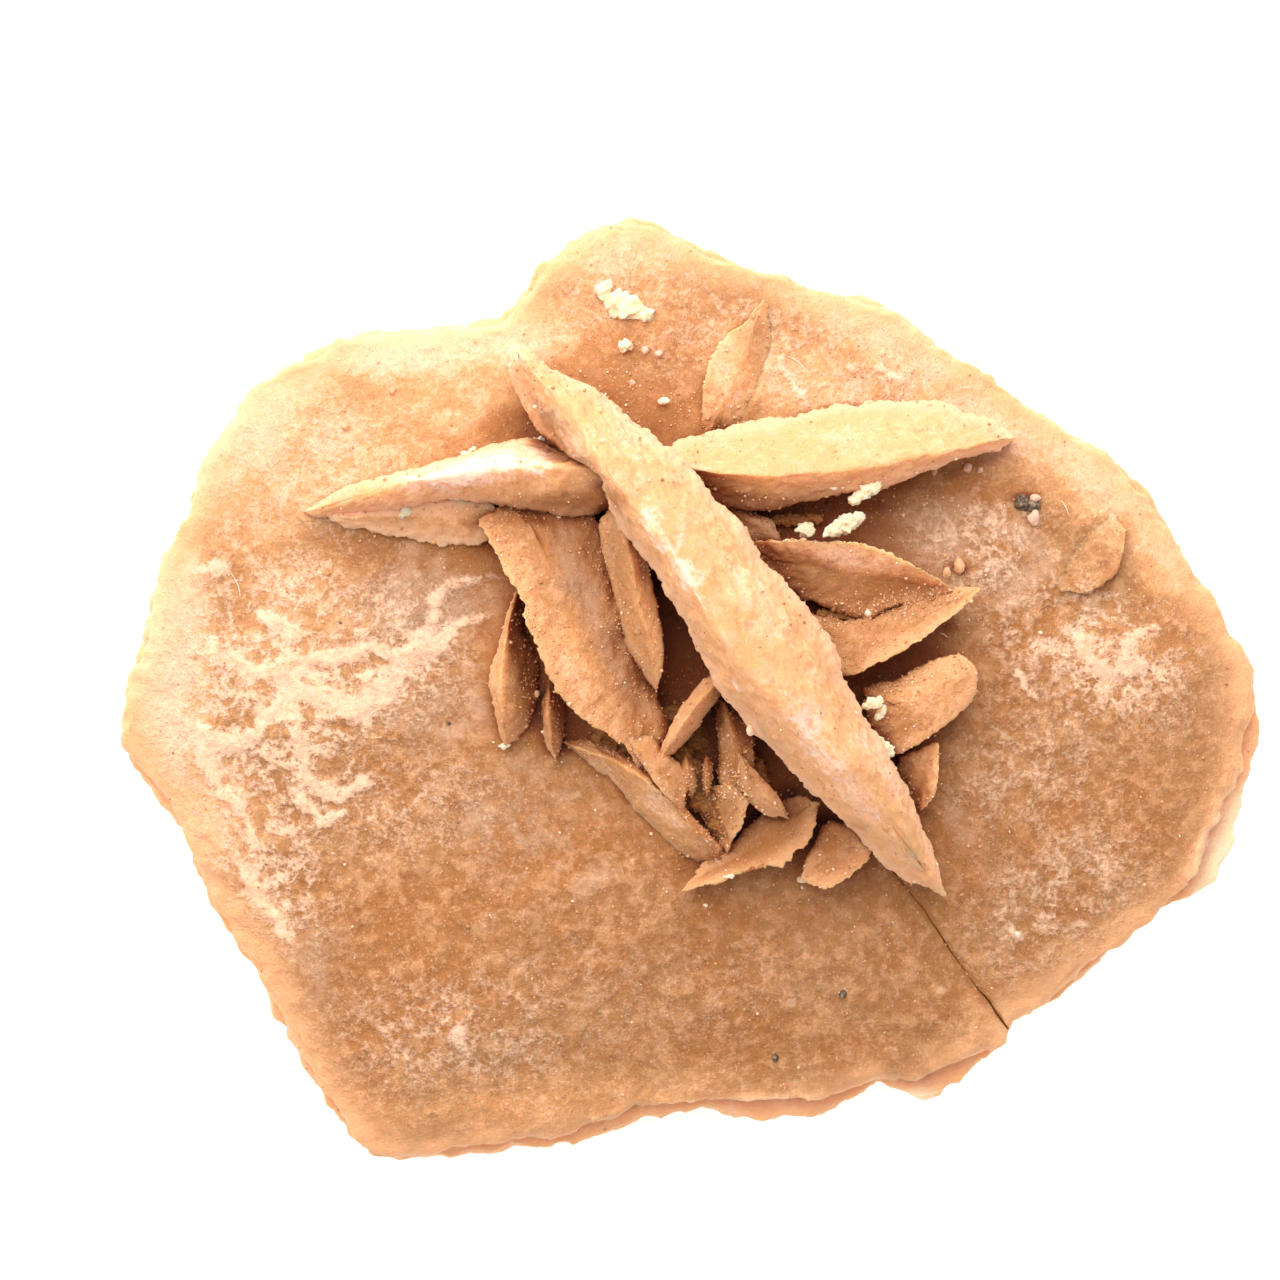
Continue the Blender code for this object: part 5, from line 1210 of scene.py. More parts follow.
def stone_material(name, light=0.0, waxy=0.0, edge=0.5, glow=0.85):
    """Sandy, iron-stained gypsum, with painted shade in its gaps: light bleaches it, waxy smooths it, edge
    and glow pale its rims with a painted glow.
    """
    colours = bpy.context.scene.sand_rose_colours
    n = Nodes(name)
    broad = n.noise(BROAD_SIZE * MM, 2.0, 0.5)
    soft = n.noise(SOFT_SIZE * MM, 4.0, 0.55, 0.8)
    cloud = n.noise(CLOUD_SIZE * MM, 2.0, 0.5, 0.2)
    small = n.noise(SMALL_SIZE * MM, 3.0, 0.65, 0.3)
    fine = n.noise(FINE_SIZE * MM, 2.0, 0.7)
    from_grain, grain = n.cells(bpy.context.scene.sand_rose_sizes.grain_size)
    blot = n.plus(n.swing(soft, 1.3), n.swing(small, 0.7))

    def ragged(name, low, high, top=1.0, torn=1.0):
        """An attribute with its border broken up by the noise."""
        return n.ramp(n.plus(n.attribute(name), n.times(blot, torn)), low, high, 0.0, top)

    # Broad patches, then pale and rusty clouds, then the ashen, bleached and stained places, partly painted
    # shade and painted light.
    paler = n.mix(light, colours.pale, colours.bleached)
    colour = n.mix(n.ramp(broad, 0.35, 0.65), colours.tan, colours.ochre)
    colour = n.mix(light, colour, colours.golden)
    colour = n.mix(n.ramp(blot, -0.1, 0.45, 0.0, 0.65 - 0.2 * light), colour, paler)
    colour = n.mix(n.ramp(cloud, 0.50, 0.66, 0.0, 0.45 - 0.2 * light), colour, paler)
    rusty = n.mix(light, colours.rust, colours.golden)
    colour = n.mix(n.ramp(cloud, 0.50, 0.36, 0.0, 0.4), colour, rusty)
    colour = n.mix(ragged("ashen", 0.2, 0.9, 0.8), colour, colours.ash)
    bleach = n.attribute("bleached")
    colour = n.mix(n.ramp(bleach, 0.0, 0.8, 0.0, 0.85), colour, colours.golden)
    colour = n.mix(ragged("bleached", 0.35, 1.0, 0.8), colour, colours.bleached)
    colour = n.mix(ragged("stained", 0.2, 0.9, 0.8), colour, colours.rust)

    # How much cream there is: the drawn veins, and a web of threads in the mottled patches.
    mottled = n.attribute("mottled")
    vein = n.attribute("vein")
    threads = n.times(n.threads(THREAD_SIZES[0] * MM, 0.4), 0.6)
    threads = n.plus(threads, n.times(n.threads(THREAD_SIZES[1] * MM, 0.3), 0.4))
    cream = n.plus(n.times(mottled, n.less(threads, 0.2)), n.times(vein, 0.6))
    cream = n.plus(n.plus(cream, n.swing(small, 0.7)), n.swing(fine, 0.3))
    cream = n.times(n.ramp(cream, 0.1, 0.7), n.ramp(n.plus(mottled, vein), 0.0, 0.3))

    # Light and dark sand grains, a few of them cream.
    calm = 0.75 - 0.45 * waxy
    shade = n.plus(n.ramp(fine, 0.25, 0.75, 1.0 - 0.14 * calm, 1.0 + 0.14 * calm),
                   n.ramp(grain.outputs["Red"], 0.0, 1.0, -0.08 * calm, 0.08 * calm))
    shade = n.plus(shade, n.ramp(small, 0.2, 0.8, -0.16 * calm, 0.16 * calm))
    colour = n.mix(1.0, colour, shade, "MULTIPLY")
    colour = n.mix(n.ramp(grain.outputs["Green"], 0.95, 0.97, 0.0, 0.25), colour, colours.cream)

    # Single spots, umber or cream.
    away, spot = n.cells(SPOT_SIZE * MM)
    away = n.plus(away, n.swing(small, 0.2))
    dark_spot = n.times(n.ramp(away, 0.03, 0.10, 0.35, 0.0), n.ramp(spot.outputs["Red"], 0.75, 0.78))
    colour = n.mix(dark_spot, colour, colours.umber)
    pale_spot = n.times(n.ramp(away, 0.05, 0.13, 0.35, 0.0), n.ramp(spot.outputs["Red"], 0.30, 0.27))
    colour = n.mix(pale_spot, colour, colours.cream)

    # Films and veins over it, then the thin rims: paler gypsum, partly painted as the glow of light shining
    # through them.
    colour = n.mix(ragged("film", 0.2, 1.1, 0.4, 0.9), colour, n.mix(0.5, colours.ash, colours.cream))
    colour = n.mix(n.times(cream, n.ramp(small, 0.35, 0.6, 0.55, 0.8)), colour, colours.cream)
    rim = n.attribute("rim")
    thin = n.mix(edge, colours.golden, colours.bleached)
    thin = n.mix(n.ramp(bleach, 0.6, 1.7), thin, colours.glowing)
    colour = n.mix(n.ramp(rim, 0.05, 0.8, 0.0, glow), colour, thin)

    # Painted shade, darker the more shut in a place is, and the rubbed ridges, partly painted highlights.
    painted_shade = n.plus(n.attribute("hollow"), n.swing(soft, 0.2))
    painted_shade = n.less(n.less(painted_shade, n.times(rim, 0.12)), n.times(bleach, 0.2))
    # dust: rust to tan, the colour of the lightest painted shade.
    dust = n.mix(0.5 * light, colours.rust, colours.tan)
    colour = n.mix(n.ramp(painted_shade, 0.04, 0.4, 0.0, 0.6), colour, dust)
    colour = n.mix(n.ramp(painted_shade, 0.25, 0.6, 0.0, 0.85), colour, colours.deep)
    colour = n.mix(n.ramp(painted_shade, 0.6, 0.85, 0.0, 0.9), colour, colours.umber)
    worn = ragged("worn", 0.45, 0.95, 0.6, 1.2)
    colour = n.mix(worn, colour, colours.worn)

    roughness = n.ramp(fine, 0.3, 0.7, 0.62 - 0.2 * waxy, 0.85 - 0.25 * waxy)
    roughness = n.less(roughness, n.times(worn, 0.2))
    roughness = n.less(roughness, n.ramp(grain.outputs["Green"], 0.93, 0.96, 0.0, 0.35))

    surface = n.bump(cream, 0.10 * MM, 0.7)
    surface = n.bump(cloud, 0.3 * MM, 0.5, surface)
    surface = n.bump(small, 0.18 * MM * calm, 0.6, surface)
    surface = n.bump(fine, 0.08 * MM * calm, 0.7, surface)
    surface = n.bump(n.less(1.0, from_grain), 0.04 * MM * calm, 0.7, surface)
    n.skin(colour, roughness, surface)
    n.scatter(0.5, (1.0, 0.5, 0.25), 1.5 * MM)
    n.shader.inputs["Specular IOR Level"].default_value = 0.35
    return n.material


def floor_material():
    """Plain pale floor, lit a little from within like a light table."""
    colours = bpy.context.scene.sand_rose_colours
    n = Nodes("pale_floor")
    cloud = n.noise(0.15, 2.0)
    colour = n.mix(n.ramp(cloud, 0.3, 0.7), tuple(0.98 * c for c in colours.floor), colours.floor)
    n.feed(n.shader.inputs["Base Color"], colour)
    n.shader.inputs["Roughness"].default_value = 0.9
    n.shader.inputs["Emission Color"].default_value = (1.0, 0.99, 1.0, 1.0)
    n.shader.inputs["Emission Strength"].default_value = FLOOR_GLOW
    return n.material


def dress(obj, material):
    """Put the finish on a piece and tie it to the frame."""
    obj.data.materials.clear()
    obj.data.materials.append(material)
    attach(obj, "root")
    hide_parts("sand_rose")


def strand_strength(points, strands, blur=0.0):
    """1 along the middle of the strands, falling to 0 at their width and the blur beyond it."""
    total = np.zeros(len(points))
    for strand in strands:
        for a, b in zip(strand[:-1], strand[1:]):
            a = np.array(a)
            b = np.array(b)
            reach = b[:2] - a[:2]
            share = np.clip(((points[:, :2] - a[:2]) @ reach) / (reach @ reach), 0.0, 1.0)
            away = np.hypot(*(points[:, :2] - (a[:2] + share[:, None] * reach)).T)
            half = a[2] + share * (b[2] - a[2])
            total = np.maximum(total, 1.0 - away / (2.0 * half + blur))
    return total


# ---- pieces ----

OPEN_TILT = (-0.3, 0.5)  # upward tilt at which wear with its painted highlights and bleaching with its painted light start, and are full
PATCH_FALL = 1.3         # how steeply a patch of colour falls off at its border


def finish_crystals(obj, material, tree):
    """Attributes, finish and ties of a group of crystals."""
    points = mesh_points(obj)
    # How far each face looks up: wear with its painted highlights, and bleaching with its painted light, go
    # only there.
    open_sky = ease(mesh_normals(obj)[:, 2], *OPEN_TILT)
    worn = np.maximum(strand_strength(points, WEAR_AND_HIGHLIGHTS), patch_strength(points, RUBBED_AND_SHEEN))
    set_attribute(obj, "worn", worn * open_sky)
    set_attribute(obj, "bleached", patch_strength(points, CRYSTAL_BLEACHED_AND_LIT) * open_sky)
    set_attribute(obj, "stained", patch_strength(points, CRYSTAL_STAINED_AND_SHADED))
    set_attribute(obj, "ashen", patch_strength(points, CRYSTAL_SHADED_FLANKS))
    shade_hollows(obj, tree)
    dress(obj, material)


def patch_strength(points, patches):
    """How strongly the patches, given as x, y, two radii, turn and strength, colour each point."""
    total = np.zeros(len(points))
    for x, y, long_radius, short_radius, turn, strength in patches:
        spin = math.radians(turn)
        dx = points[:, 0] - x
        dy = points[:, 1] - y
        u = (dx * math.cos(spin) + dy * math.sin(spin)) / long_radius
        v = (dy * math.cos(spin) - dx * math.sin(spin)) / short_radius
        total = np.maximum(total, strength * np.exp(-(u * u + v * v) ** PATCH_FALL))
    return total


def plate_patches(points):
    """Broad colours of the plate at each point, by attribute."""
    return {
        "mottled": patch_strength(points, MOTTLED), "bleached": patch_strength(points, BLEACHED_AND_LIT),
        "stained": patch_strength(points, STAINED_AND_SHADED), "ashen": patch_strength(points, ASHEN_AND_SHADED)}


def outline_columns(count):
    """The plate's outline at even steps: x, y and setback, its corners softened a little."""
    outline = resample(np.array(PLATE_OUTLINE), count)
    for _ in range(3):
        outline = (np.roll(outline, 1, axis=0) + 2.0 * outline + np.roll(outline, -1, axis=0)) / 4.0
    return outline


def cut_crack(obj):
    """Cut the long V-shaped crack out of the plate."""
    path = []
    for a, b in zip(CRACK_PATH[:-1], CRACK_PATH[1:]):
        path += [Vector(a).lerp(Vector(b), share) for share in (0.0, 0.34, 0.67)]
    path.append(Vector(CRACK_PATH[-1]))
    shape = bmesh.new()
    before = None
    for k, here in enumerate(path):
        share = k / (len(path) - 1)
        heading = (path[min(k + 1, len(path) - 1)] - path[max(k - 1, 0)]).normalized()
        side = Vector((-heading.y, heading.x, 0.0))
        stray = side * CRACK_WANDER * noise.noise(Vector((0.9 * k, 3.0, 0.0)))
        place = Vector((here.x, here.y, 0.0)) + stray
        face = CRACK_FACE - CRACK_FALL * share
        floor = face - (CRACK_DEPTH[0] + (CRACK_DEPTH[1] - CRACK_DEPTH[0]) * share)
        lid = Vector((0.0, 0.0, PLATE_CROWN + 1.0))
        reach = side * CRACK_SLOPE * (PLATE_CROWN + 1.0 - floor)
        corners = (place + reach + lid, place - reach + lid, place + Vector((0.0, 0.0, floor)))
        verts = [shape.verts.new(corner * MM) for corner in corners]
        if before is None:
            shape.faces.new(verts)
        else:
            for i in range(3):
                j = (i + 1) % 3
                shape.faces.new((before[i], before[j], verts[j], verts[i]))
        before = verts
    shape.faces.new(before)
    bmesh.ops.recalc_face_normals(shape, faces=shape.faces)
    bmesh.ops.triangulate(shape, faces=shape.faces)
    combine(obj, bmesh_object("crack", shape), "DIFFERENCE")


def crack_strand(half_width):
    """The crack's path as one strand."""
    return [(x, y, half_width) for x, y in CRACK_PATH]


def vein_web(points):
    """How much cream lies at each point in the veins and in the films, from 0 to 1."""
    flat = points * np.array((1.0, 1.0, 0.0))
    wander = [VEIN_WANDER * rubble(flat, 1.1, 4, seed, 0.65) for seed in (21.0, 22.0)]
    place = points[:, :2] + np.stack(wander, axis=1)
    return ease(strand_strength(place, VEINS, 0.1), 0.1, 1.0), strand_strength(place, FILMS, 0.6)


def banked_sand(points, chosen):
    """Height of the sand banked against the crystals, at the chosen points."""
    tree = tree_of([skin_of(crystal, COARSE_STEP) for crystal in CLUSTER])
    bank = np.zeros(len(points))
    for k in np.nonzero(chosen)[0]:
        _, _, _, distance = tree.find_nearest(points[k].tolist(), BANK_SEARCH)
        if distance is not None:
            bank[k] = math.exp(-distance / BANK_REACH)
    return BANK_HEIGHT * bank


def make_plate():
    """The large lens crystal, with two growth layers at its rim."""
    sizes = bpy.context.scene.sand_rose_sizes
    step = sizes.plate_step / MM
    rag = sizes.rim_rag / MM
    outline = outline_columns(8 * round(PLATE_GIRTH / step / 8.0))
    radius = np.hypot(outline[:, 0], outline[:, 1])
    heading = outline[:, :2] / radius[:, None]
    setback = outline[:, 2]
    rings = []
    marks = []

    def add_ring(share, height, mark, skip=1):
        upper = mark >= EDGE_MARK
        seed = UPPER_FRAY if upper else LOWER_FRAY
        ways = heading[::skip]
        reach = (radius[::skip] - (setback[::skip] if upper else 0.0)) * share
        rest = np.column_stack((ways * reach[:, None], np.full(len(ways), height)))
        fray = rubble(rest, FRAY_BAYS, 4, seed, 0.65)
        fray += 0.4 * rubble(rest, FRAY_TEETH, 3, seed + 3.0, 0.6)
        reach = reach + rag * fray * ease(share, 0.86, 1.0)
        rings.append(np.column_stack((ways * reach[:, None], np.full(len(ways), height))))
        marks.append(mark)

    spacing = step / PLATE_RADIUS
    share = 0.02
    while share < 0.985:
        height = PLATE_RIM_TOP + (PLATE_CROWN - PLATE_RIM_TOP) * (1.0 - share ** 2)
        add_ring(share, height, FACE_MARK, thin_out(share, 0.25))
        share += spacing * (1.0 if share > 0.5 else 1.25 if share > 0.25 else 1.8)
    for share, height in UPPER_EDGE:
        add_ring(share, height, EDGE_MARK)
    for share, height in LOWER_EDGE:
        add_ring(share, height, LEDGE_MARK)
    share = 0.985
    while share > 0.03:
        height = PLATE_BELLY + (PLATE_RIM_LOW - PLATE_BELLY) * share ** 2
        add_ring(share, height, UNDER_MARK, 2 if share > 0.5 else 4)
        share -= spacing * (2.0 if share > 0.5 else 2.6)
    points, faces = close_skin((0.0, 0.0, PLATE_CROWN), rings, (0.0, 0.0, PLATE_BELLY))
    faces = facing_out(points, faces)
    mark = [np.full(len(row), value) for row, value in zip(rings, marks)]
    mark = np.concatenate([[FACE_MARK]] + mark + [[UNDER_MARK]])
    top = mark == FACE_MARK

    flat = points * np.array((1.0, 1.0, 0.0))
    away = np.hypot(points[:, 0], points[:, 1])
    points[:, 2] += FACE_SWELL * lumps(flat, SWELL_SIZE, 1.0)
    patches = plate_patches(points)
    vein, film = vein_web(points)
    vein *= top
    relief = sum(height * rubble(flat, size, 3, seed) for height, size, seed in RELIEF)
    web = 1.0 - ease(np.abs(rubble(flat, WEB_SIZE, 3, 33.0)), 0.0, 0.5)
    relief += sizes.vein_relief / MM * (vein + patches["mottled"] * (web - 0.5))
    relief += banked_sand(points, top & (away < BANK_LIMIT))
    points[top, 2] += relief[top]
    normals = normals_of(points, faces)
    side = ~top
    points[side] += normals[side] * (SIDE_ROUGH * rubble(points[side], SIDE_SIZE, 3, 9.0))[:, None]

    rim_away = 1.0 - away / np.interp(
        np.arctan2(points[:, 1], points[:, 0]),
        *sort_pairs(np.arctan2(outline[:, 1], outline[:, 0]), radius))
    rim = np.exp(-(np.maximum(rim_away, 0.0) * PLATE_RADIUS / PLATE_RIM_DEPTH))
    patches["mottled"] *= top
    # The lower layer's edge is painted pale, as the glow of light shining through it.
    patches["bleached"] = np.maximum(patches["bleached"], LEDGE_GLOW * (mark == LEDGE_MARK))
    obj = mesh_object("plate", points, faces, rim=rim, vein=vein, film=film * top, **patches)
    cut_crack(obj)
    return obj


def sort_pairs(keys, values):
    """Keys in rising order with their values, run on past both ends of a full turn."""
    order = np.argsort(keys)
    keys = keys[order]
    values = values[order]
    turn = 2.0 * math.pi
    keys = np.concatenate([[keys[-1] - turn], keys, [keys[0] + turn]])
    return keys, np.concatenate([[values[-1]], values, [values[0]]])


def make_heaps(name, rows, seed):
    """Heaps of angular knobs, each heap grown into one rough skin."""
    randoms = np.random.default_rng(seed)
    shape = bmesh.new()
    for x, y, z, length, width, height, turn, knobs in rows:
        spin = math.radians(turn)
        for k in range(knobs):
            radius = KNOB_SHARE * min(width, height) * randoms.uniform(*KNOB_RADII)
            run = (k + 0.5) / knobs * 2.0 - 1.0
            swell = math.sqrt(1.0 - run * run)
            u = run * max(length / 2.0 - radius, 0.0) + randoms.uniform(-0.1, 0.1)
            v = randoms.uniform(-1.0, 1.0) * max(width / 2.0 - radius, 0.0) * swell
            w = randoms.uniform(-0.5, 0.5) * max(height / 2.0 - radius, 0.0)
            centre = Vector((x + u * math.cos(spin) - v * math.sin(spin),
                             y + u * math.sin(spin) + v * math.cos(spin), z + w))
            turned = Euler(randoms.uniform(0.0, math.pi, 3).tolist()).to_matrix()
            made = bmesh.ops.create_cube(shape, size=KNOB_CUBE)
            for vert in made["verts"]:
                reach = radius * randoms.uniform(*KNOB_CORNERS)
                vert.co = (centre + turned @ vert.co * reach) * MM
    obj = bmesh_object(name, shape)
    modifier = obj.modifiers.new("skin", "REMESH")
    modifier.mode = "VOXEL"
    modifier.voxel_size = HEAP_VOXEL * MM
    apply_modifiers(obj)
    points = mesh_points(obj)
    points += mesh_normals(obj) * (HEAP_ROUGH * rubble(points, 0.35, 3, 61.0, 0.7))[:, None]
    set_points(obj, points)
    obj.data.shade_smooth()
    return obj


TOP_PIECES = ("plate", "long_blade", "cross_blades", "left_petals", "front_petals", "right_petals",
              "lone_petals")


def top_tree():
    """Search tree over the skins made so far, in millimetres."""
    skins = []
    for name in TOP_PIECES:
        obj = bpy.data.objects[name]
        obj.data.calc_loop_triangles()
        corners = np.empty(3 * len(obj.data.loop_triangles), dtype=np.int32)
        obj.data.loop_triangles.foreach_get("vertices", corners)
        skins.append((mesh_points(obj), corners.reshape(-1, 3), None))
    return tree_of(skins)


def height_at(tree, x, y):
    """Height of the skins at a place, seen from above."""
    return tree.ray_cast((x, y, DROP_HEIGHT), (0.0, 0.0, -1.0))[0][2]


def make_pebbles():
    """Round grains, each sunk a little into the skin below it."""
    tree = top_tree()
    randoms = np.random.default_rng(PEBBLE_SEED)
    points = []
    faces = []
    tints = []
    total = 0
    ball, ball_faces = ball_mesh(4)
    for x, y, radius, tint in PEBBLES:
        shape = ball * randoms.uniform(*PEBBLE_STRETCH, 3)
        shape *= (1.0 + PEBBLE_LUMPS * rubble(ball + 9.0 * total, 1.1, 4, 1.0))[:, None]
        height = height_at(tree, x, y) + PEBBLE_SINK * radius
        points.append(shape * radius * (1.0, 1.0, 0.8) + (x, y, height))
        faces.append(ball_faces + total)
        tints.append(np.full(len(ball), float(tint)))
        total += len(ball)
    obj = mesh_object("pebbles", np.concatenate(points), np.concatenate(faces))
    set_attribute(obj, "tint", np.concatenate(tints) / 3.0)
    return obj


def make_fibres():
    """Thin threads of dust lying on the plate."""
    tree = top_tree()
    points = []
    faces = []
    total = 0
    turns = np.linspace(0.0, 2.0 * math.pi, 8, endpoint=False)
    for a, b, sag in FIBRES:
        a = np.array(a)
        b = np.array(b)
        across = np.array((a[1] - b[1], b[0] - a[0])) / np.linalg.norm(b - a)
        rings = []
        ring = np.outer(np.cos(turns), np.append(across, 0.0))
        ring += np.outer(np.sin(turns), (0.0, 0.0, 1.0))
        for share in np.linspace(0.0, 1.0, FIBRE_RINGS):
            x, y = a + (b - a) * share + across * sag * math.sin(math.pi * share)
            reach = FIBRE_RADIUS * (0.5 + 0.5 * math.sin(math.pi * share))
            rings.append(ring * reach + (x, y, height_at(tree, x, y) + FIBRE_LIFT))
        skin, skin_faces = close_skin(rings[0].mean(axis=0), rings, rings[-1].mean(axis=0))
        points.append(skin)
        faces.append(facing_out(skin - skin.mean(axis=0), skin_faces) + total)
        total += len(skin)
    obj = mesh_object("fibres", np.concatenate(points), np.concatenate(faces))
    set_attribute(obj, "tint", np.zeros(total))
    return obj


def ball_mesh(subdivisions):
    """Points and triangles of a unit ball."""
    shape = bmesh.new()
    bmesh.ops.create_icosphere(shape, subdivisions=subdivisions, radius=1.0)
    points = np.array([vert.co[:] for vert in shape.verts])
    faces = np.array([[vert.index for vert in face.verts] for face in shape.faces])
    shape.free()
    return points, faces


def make_grains():
    """Loose sand grains stuck on the upper skins, thicker in the hollows."""
    sizes = bpy.context.scene.sand_rose_sizes
    randoms = np.random.default_rng(GRAIN_SEED)
    ball, ball_faces = ball_mesh(1)
    points = []
    normals = []
    weights = []
    depths = []
    for name in TOP_PIECES:
        obj = bpy.data.objects[name]
        here = mesh_points(obj)
        up = mesh_normals(obj)
        shut = attribute(obj, "hollow")
        sandy = patch_strength(here, SAND_SPOTS)
        usual = PLATE_SAND if name == "plate" else CRYSTAL_SAND
        weight = np.clip(up[:, 2], 0.0, 1.0) * (usual + shut + GRAIN_PULL * sandy) * (shut < GRAIN_SHUT)
        depths.append(shut)
        points.append(here)
        normals.append(up)
        weights.append(weight)
    points = np.concatenate(points)
    normals = np.concatenate(normals)
    weights = np.concatenate(weights)
    depths = np.concatenate(depths)
    picked = randoms.choice(len(points), sizes.grain_count, p=weights / weights.sum())
    radius = GRAIN_RADIUS * sizes.grain_size / MM * randoms.lognormal(0.0, GRAIN_SPREAD, len(picked))
    stretch = randoms.uniform(*GRAIN_STRETCH, (len(picked), 3))
    turn = randoms.normal(size=(len(picked), 3, 3))
    turn, _ = np.linalg.qr(turn)
    jag = 1.0 + GRAIN_JAG * randoms.normal(size=(len(picked), len(ball)))
    balls = ball[None] * jag[:, :, None] * stretch[:, None]
    balls = np.einsum("gij,gvj->gvi", turn, balls) * radius[:, None, None]
    centres = points[picked] + normals[picked] * (GRAIN_SINK * radius)[:, None]
    firsts = np.arange(len(picked)) * len(ball)
    faces = ball_faces[None] + firsts[:, None, None]
    obj = mesh_object("sand_grains", (balls + centres[:, None]).reshape(-1, 3), faces.reshape(-1, 3))
    set_attribute(obj, "tint", np.repeat(randoms.uniform(0.0, 1.0, len(picked)), len(ball)))
    # Each grain keeps how shut in its place is, which sets its painted shade.
    set_attribute(obj, "hollow", np.repeat(depths[picked], len(ball)))
    return obj


def grain_material():
    """Sand grains: golden on the open faces, with painted shade in the hollows, a few of them pale."""
    colours = bpy.context.scene.sand_rose_colours
    n = Nodes("sand_grains")
    tint = n.attribute("tint")
    fine = n.noise(0.12 * MM, 2.0)
    colour = n.mix(n.ramp(tint, 0.0, 0.7), colours.tan, colours.golden)
    colour = n.mix(n.ramp(tint, 0.75, 0.9), colour, colours.cream)
    colour = n.mix(n.ramp(tint, 0.94, 0.97), colour, colours.glowing)
    colour = n.mix(n.ramp(n.attribute("hollow"), 0.2, 0.7, 0.0, 0.75), colour, colours.deep)
    colour = n.mix(n.ramp(fine, 0.4, 0.8, 0.0, 0.3), colour, colours.golden)
    n.skin(colour, n.ramp(fine, 0.3, 0.7, 0.35, 0.6), n.bump(fine, 0.02 * MM, 0.5))
    return n.material


def pebble_material():
    """Round grains: pale, tan, pinkish or dark by their tint."""
    colours = bpy.context.scene.sand_rose_colours
    n = Nodes("pebbles")
    tint = n.attribute("tint")
    cloud = n.noise(0.25 * MM, 3.0)
    colour = n.mix(n.ramp(tint, 0.1, 0.3), colours.cream, colours.pale)
    colour = n.mix(n.ramp(tint, 0.4, 0.6), colour, PINK_GRAIN)
    colour = n.mix(n.ramp(tint, 0.75, 0.95), colour, DARK_GRAIN)
    colour = n.mix(n.ramp(cloud, 0.4, 0.75, 0.0, 0.35), colour, colours.bleached)
    n.skin(colour, n.ramp(cloud, 0.3, 0.7, 0.25, 0.5), n.bump(cloud, 0.05 * MM, 0.5))
    n.scatter(0.4, (1.0, 0.6, 0.35), 0.4 * MM)
    return n.material


# ---- operators ----

FLOOR_SIZE = 3.0         # metres, like the key light's size and place
FLOOR_DROP = 0.05        # gap between the stone's rest face and the floor, in millimetres
KEY_PLACE = (-0.1, 0.26, 0.32)
KEY_SIZE = 0.6
KEY_POWER = 3.4
KEY_COLOUR = (1.0, 0.97, 0.92)
SKY_STRENGTH = 0.6
SENSOR_WIDTH = 36.0
FRAME_PIXELS = 1280
PIXEL_SIZE = 0.0525      # millimetres of the stone that one pixel spans
FRAME_MIDDLE = (-49.0, 51.0)    # where the camera stands over the stone, in pixels
CAMERA_REACH = 450.0     # distance from the camera to the plate's upper face, in millimetres
FACE_HEIGHT = 7.0        # and the height of that face


class SANDROSE_OT_long_blade(bpy.types.Operator):
    """Grow the long blade that crosses the whole rose"""
    bl_idname = "sandrose.long_blade"
    bl_label = "Long blade"

    def execute(self, context):
        step = context.scene.sand_rose_sizes.blade_step / MM
        obj = crystal_group("long_blade", LONG_BLADE, step)
        finish_crystals(obj, stone_material("waxy_gypsum", light=0.8, waxy=0.8), stone_tree())
        return {"FINISHED"}


class SANDROSE_OT_cross_blades(bpy.types.Operator):
    """Grow the blades that cross under the long one"""
    bl_idname = "sandrose.cross_blades"
    bl_label = "Cross blades"

    def execute(self, context):
        step = context.scene.sand_rose_sizes.blade_step / MM
        obj = crystal_group("cross_blades", CROSS_BLADES, step)
        finish_crystals(obj, stone_material("blade_gypsum", light=0.85, waxy=0.6), stone_tree())
        return {"FINISHED"}


class SANDROSE_OT_petals(bpy.types.Operator):
    """Grow the petals of the cluster, and the two that stand alone"""
    bl_idname = "sandrose.petals"
    bl_label = "Petals"

    def execute(self, context):
        step = context.scene.sand_rose_sizes.petal_step / MM
        material = stone_material("petal_gypsum", light=0.2, waxy=0.1, edge=0.2, glow=0.5)
        tree = stone_tree()
        for name, crystals in (("left_petals", LEFT_PETALS), ("front_petals", FRONT_PETALS),
                               ("right_petals", RIGHT_PETALS), ("lone_petals", LONE_PETALS)):
            finish_crystals(crystal_group(name, crystals, step), material, tree)
        return {"FINISHED"}


class SANDROSE_OT_underside(bpy.types.Operator):
    """Grow the blades of the underside, worn flat where the stone rests"""
    bl_idname = "sandrose.underside"
    bl_label = "Underside blades"

    def execute(self, context):
        obj = crystal_group("underside_blades", UNDERSIDE_BLADES, UNDERSIDE_STEP)
        points = mesh_points(obj)
        points[:, 2] = np.maximum(points[:, 2], 0.0)
        set_points(obj, points)
        obj.data.update()
        finish_crystals(obj, stone_material("underside_gypsum"), stone_tree())
        return {"FINISHED"}


